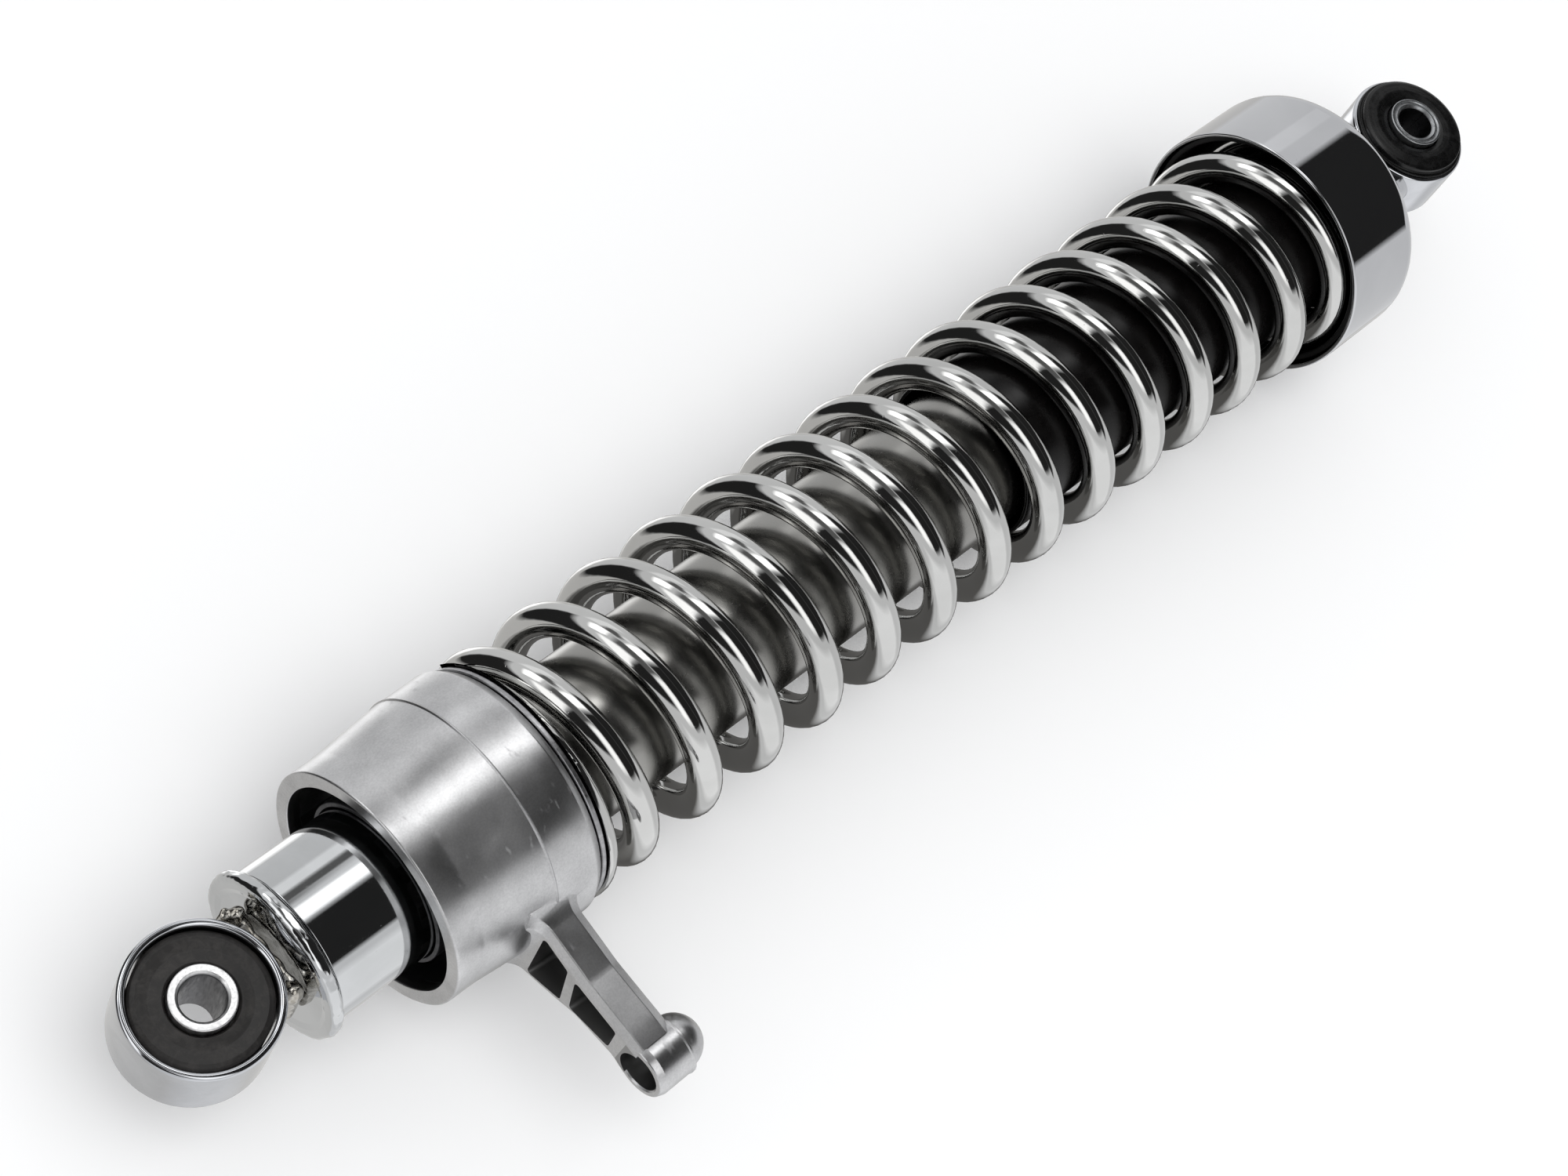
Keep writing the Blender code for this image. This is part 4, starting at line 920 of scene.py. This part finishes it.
def make_lugs():
    """The pressed band and its two lugs, seen inside the adjuster's mouth."""
    x0 = span("cam_lugs")[0]
    lug_x0 = x0 + 1.8
    lug_r0 = BAND_R + 0.15
    band_x1 = x0 + BAND_WIDTH
    outer = BAND_R + BAND_T
    body = turned(rounded([
        (x0, BAND_R, 0.15), (x0, outer, 0.3), (band_x1, outer, 0.3), (band_x1, BAND_R, 0.1)]))
    for centre in (LUG_DEG, LUG_DEG + 180.0):
        lug = bmesh.new()
        rows = []
        for step in range(13):
            offset = LUG_HALF_DEG * (step / 6.0 - 1.0)
            top = LUG_TOP + CAM_RISE_PER_DEG * offset
            corners = ((lug_x0, lug_r0), (lug_x0, LUG_R), (top, LUG_R), (top, lug_r0))
            rows.append([lug.verts.new((x, *on_circle(radius, centre + offset))) for x, radius in corners])
        skin(lug, rows)
        body = boolean(body, lug, "UNION")
    piece("lug_band", body, BLACK_STEEL, "damper", ["cam_lugs"], 30.0)


def make_seat():
    """The thin washer between the spring and the adjuster."""
    x0, x1, r = span("lower_spring_seat")
    bore = 15.8
    outline = rounded([(x0, bore, 0.2), (x0, r, 0.3), (x1, r, 0.3), (x1, bore, 0.2)])
    piece("seat_washer", turned(outline), STEEL, "spring_seat", ["lower_spring_seat"])


# ---------------------------------------------------------------- carried-over CAD nodes

def dress_inner_nodes():
    """Give the hidden CAD nodes that are shown as they are their metals, rubbers and foam."""
    looks = {
        "piston_rod": ROD_CHROME, "rebound_bumper": SEAL_RUBBER, "piston": STEEL, "piston_ring": PTFE,
        "shim_stack": SHIM_STEEL, "piston_nut": ZINC_DARK, "bump_stop": FOAM, "inner_cylinder": STEEL,
        "foot_valve": STEEL, "rod_guide": ALLOY, "rod_bush": BRONZE, "oil_seal": SEAL_RUBBER,
        "gland_ring": BLACK_STEEL}
    for node, mat in looks.items():
        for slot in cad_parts[node].material_slots:
            slot.material = mat


# ---------------------------------------------------------------- studio

# Sizes and places in this section are in metres.
FLOOR_Z = -0.0284
CENTRE = Vector((-0.17, 0.0, 0.0))
SHADOW_SIZE = (0.29, 0.075)
SHADOW_X = -0.155


def card_light(name, colour, strength):
    """Even glow that fades out over the outermost cells of a card."""
    mat = bpy.data.materials.new(name)
    mat.use_nodes = True
    tree = mat.node_tree
    tree.nodes.clear()
    glow = tree.nodes.new("ShaderNodeEmission")
    glow.inputs["Color"].default_value = (*colour, 1.0)
    glow.inputs["Strength"].default_value = strength
    clear = tree.nodes.new("ShaderNodeBsdfTransparent")
    fade = tree.nodes.new("ShaderNodeAttribute")
    fade.attribute_name = "fade"
    blend = tree.nodes.new("ShaderNodeMixShader")
    tree.links.new(fade.outputs["Fac"], blend.inputs["Fac"])
    tree.links.new(clear.outputs["BSDF"], blend.inputs[1])
    tree.links.new(glow.outputs["Emission"], blend.inputs[2])
    out = tree.nodes.new("ShaderNodeOutputMaterial")
    tree.links.new(blend.outputs["Shader"], out.inputs["Surface"])
    return mat


def make_card(name, bm, fades, mat):
    """A glowing studio object that is seen in reflections and nowhere else."""
    mesh = bpy.data.meshes.new(name)
    bm.to_mesh(mesh)
    bm.free()
    mesh.attributes.new("fade", "FLOAT", "POINT").data.foreach_set("value", fades)
    mesh.shade_smooth()
    mesh.materials.append(mat)
    obj = new_object(name, mesh)
    obj.visible_camera = False
    obj.visible_diffuse = False
    obj.visible_shadow = False
    obj.visible_transmission = False
    return obj


def panel(name, turn_deg, lean, mat, soft_deg=5.0, distance=2.0):
    """A curved studio card: turn_deg is its range about the damper axis from +Y, lean that of the x part.

    Its edges fade over soft_deg of turn, and over the same share of lean.
    """
    cells_turn = max(3, round((turn_deg[1] - turn_deg[0]) / soft_deg))
    cells_lean = max(3, round((lean[1] - lean[0]) / math.radians(soft_deg) * 1.2))
    bm = bmesh.new()
    rows = []
    fades = []
    for i in range(cells_turn + 1):
        turn = math.radians(turn_deg[0] + (turn_deg[1] - turn_deg[0]) * i / cells_turn)
        row = []
        for j in range(cells_lean + 1):
            x = lean[0] + (lean[1] - lean[0]) * j / cells_lean
            across = math.sqrt(1.0 - x * x)
            way = Vector((x, across * math.cos(turn), across * math.sin(turn)))
            row.append(bm.verts.new(CENTRE + way * distance))
            edge = i in (0, cells_turn) or (j in (0, cells_lean) and abs(x) < 0.95)
            fades.append(0.0 if edge else 1.0)
        rows.append(row)
    for here, there in zip(rows, rows[1:]):
        for j in range(cells_lean):
            bm.faces.new((here[j], here[j + 1], there[j + 1], there[j]))
    make_card(name, bm, fades, mat)


def make_underside(mat):
    """The shade that the spring casts on the table, as its own coils see it."""
    cells = 8
    bm = bmesh.new()
    bmesh.ops.create_grid(bm, x_segments=cells, y_segments=cells, size=0.5)
    bmesh.ops.scale(bm, verts=bm.verts, vec=(*SHADOW_SIZE, 1.0))
    fades = [0.0 if vert.is_boundary else 1.0 for vert in bm.verts]
    make_card("underside", bm, fades, mat).location = (SHADOW_X, 0.0, FLOOR_Z + 0.0001)


def make_floor():
    bm = bmesh.new()
    bmesh.ops.create_grid(bm, x_segments=4, y_segments=4, size=6.0)
    mesh = bpy.data.meshes.new("floor")
    bm.to_mesh(mesh)
    bm.free()
    mat, _, shader = shader_of("pale_floor", 0.0, 0.7, (0.90, 0.90, 0.90))
    shader.inputs["Specular IOR Level"].default_value = 0.2
    mesh.materials.append(mat)
    floor = new_object("floor", mesh)
    floor.location = (CENTRE.x, CENTRE.y, FLOOR_Z)
    floor.visible_glossy = False       # the table cards stand in for it in reflections


def area_light(name, location, target, size, watts):
    data = bpy.data.lights.new(name, "AREA")
    data.shape = "RECTANGLE"
    data.size = size[0]
    data.size_y = size[1]
    data.energy = watts
    light = new_object(name, data)
    light.location = location
    light.rotation_euler = (Vector(target) - Vector(location)).to_track_quat("-Z", "Y").to_euler()
    light.visible_glossy = False


def make_studio():
    """Plain floor and world, one soft overhead light, and the cards that the chrome reflects."""
    scene = bpy.context.scene
    scene.view_settings.view_transform = "Standard"
    world = bpy.data.worlds.new("studio")
    scene.world = world
    world.use_nodes = True
    background = world.node_tree.nodes["Background"]
    background.inputs["Color"].default_value = (0.985, 0.99, 1.0, 1.0)
    background.inputs["Strength"].default_value = 0.80
    make_floor()
    area_light("overhead", (-0.4, -0.5, 1.6), CENTRE, (1.4, 1.4), 14.0)
    black = card_light("card_black", (1.0, 1.0, 1.0), 0.022)
    dark = card_light("card_dark", (1.0, 1.0, 1.0), 0.14)
    shade = card_light("card_underside", (1.0, 0.98, 0.95), 0.12)
    grey = card_light("card_grey", (1.0, 0.99, 0.97), 0.66)
    light = card_light("card_light", (0.985, 0.99, 1.0), 1.12)
    soft = card_light("softbox", (1.0, 1.0, 1.0), 1.7)
    bright = card_light("strip_bright", (1.0, 1.0, 1.0), 3.0)
    # the black wall above, with the overhead strip and the side panel that cut its near edge
    panel("card_main", (86.0, 158.0), (-0.07, 0.68), black, 6.0, 1.95)
    panel("card_main_far", (60.0, 170.0), (0.56, 0.999), black, 6.0)
    panel("strip_top", (64.0, 87.0), (-0.12, 0.56), bright, 7.0, 1.9)
    panel("card_gap", (39.0, 62.0), (-0.04, 0.42), dark, 6.0, 1.9)
    panel("side_light", (22.0, 44.0), (0.08, 0.76), light, 6.0)
    panel("side_light_high", (52.0, 70.0), (0.26, 0.54), light, 5.0, 1.85)
    # the side towards the lower eye
    panel("card_shade", (54.0, 108.0), (-0.60, -0.04), dark, 8.0, 2.05)
    panel("strip_side", (31.0, 52.0), (-0.55, 0.0), bright, 8.0)
    panel("softbox_side", (98.0, 154.0), (-0.52, 0.0), soft, 12.0)
    panel("card_end", (80.0, 142.0), (-0.999, -0.46), black, 8.0, 1.95)
    panel("softbox_end", (36.0, 84.0), (-0.999, -0.57), soft, 8.0)
    # below: a dark edge low on the far side, the grey table, a bright patch and the object's own shade
    panel("card_low", (-38.0, 22.0), (-0.95, 0.04), black, 8.0)
    panel("table", (-108.0, -26.0), (-0.97, 0.97), grey, 8.0, 2.1)
    panel("table_glint", (-62.0, -28.0), (0.12, 0.60), soft, 10.0)
    make_underside(shade)
    panel("back_light", (164.0, 236.0), (-0.80, 0.55), light, 10.0, 2.1)


def make_camera():
    data = bpy.data.cameras.new("camera")
    data.lens = 66.3846
    data.sensor_width = 36.0
    data.dof.use_dof = False
    camera = new_object("camera", data)
    turn = Matrix(((0.688348, 0.497223, -0.528155), (-0.651752, 0.743569, -0.149412),
                   (0.318429, 0.447073, 0.835900)))
    camera.matrix_world = Matrix.Translation((-0.489221, -0.081765, 0.457541)) @ turn.to_4x4()
    bpy.context.scene.camera = camera


make_spring()
make_cap()
make_lock_nut()
make_upper_eye()
make_tube()
make_adjuster()
make_lugs()
make_seat()
make_bottom()
make_weld()
make_lower_eye()
dress_inner_nodes()
make_studio()
make_camera()
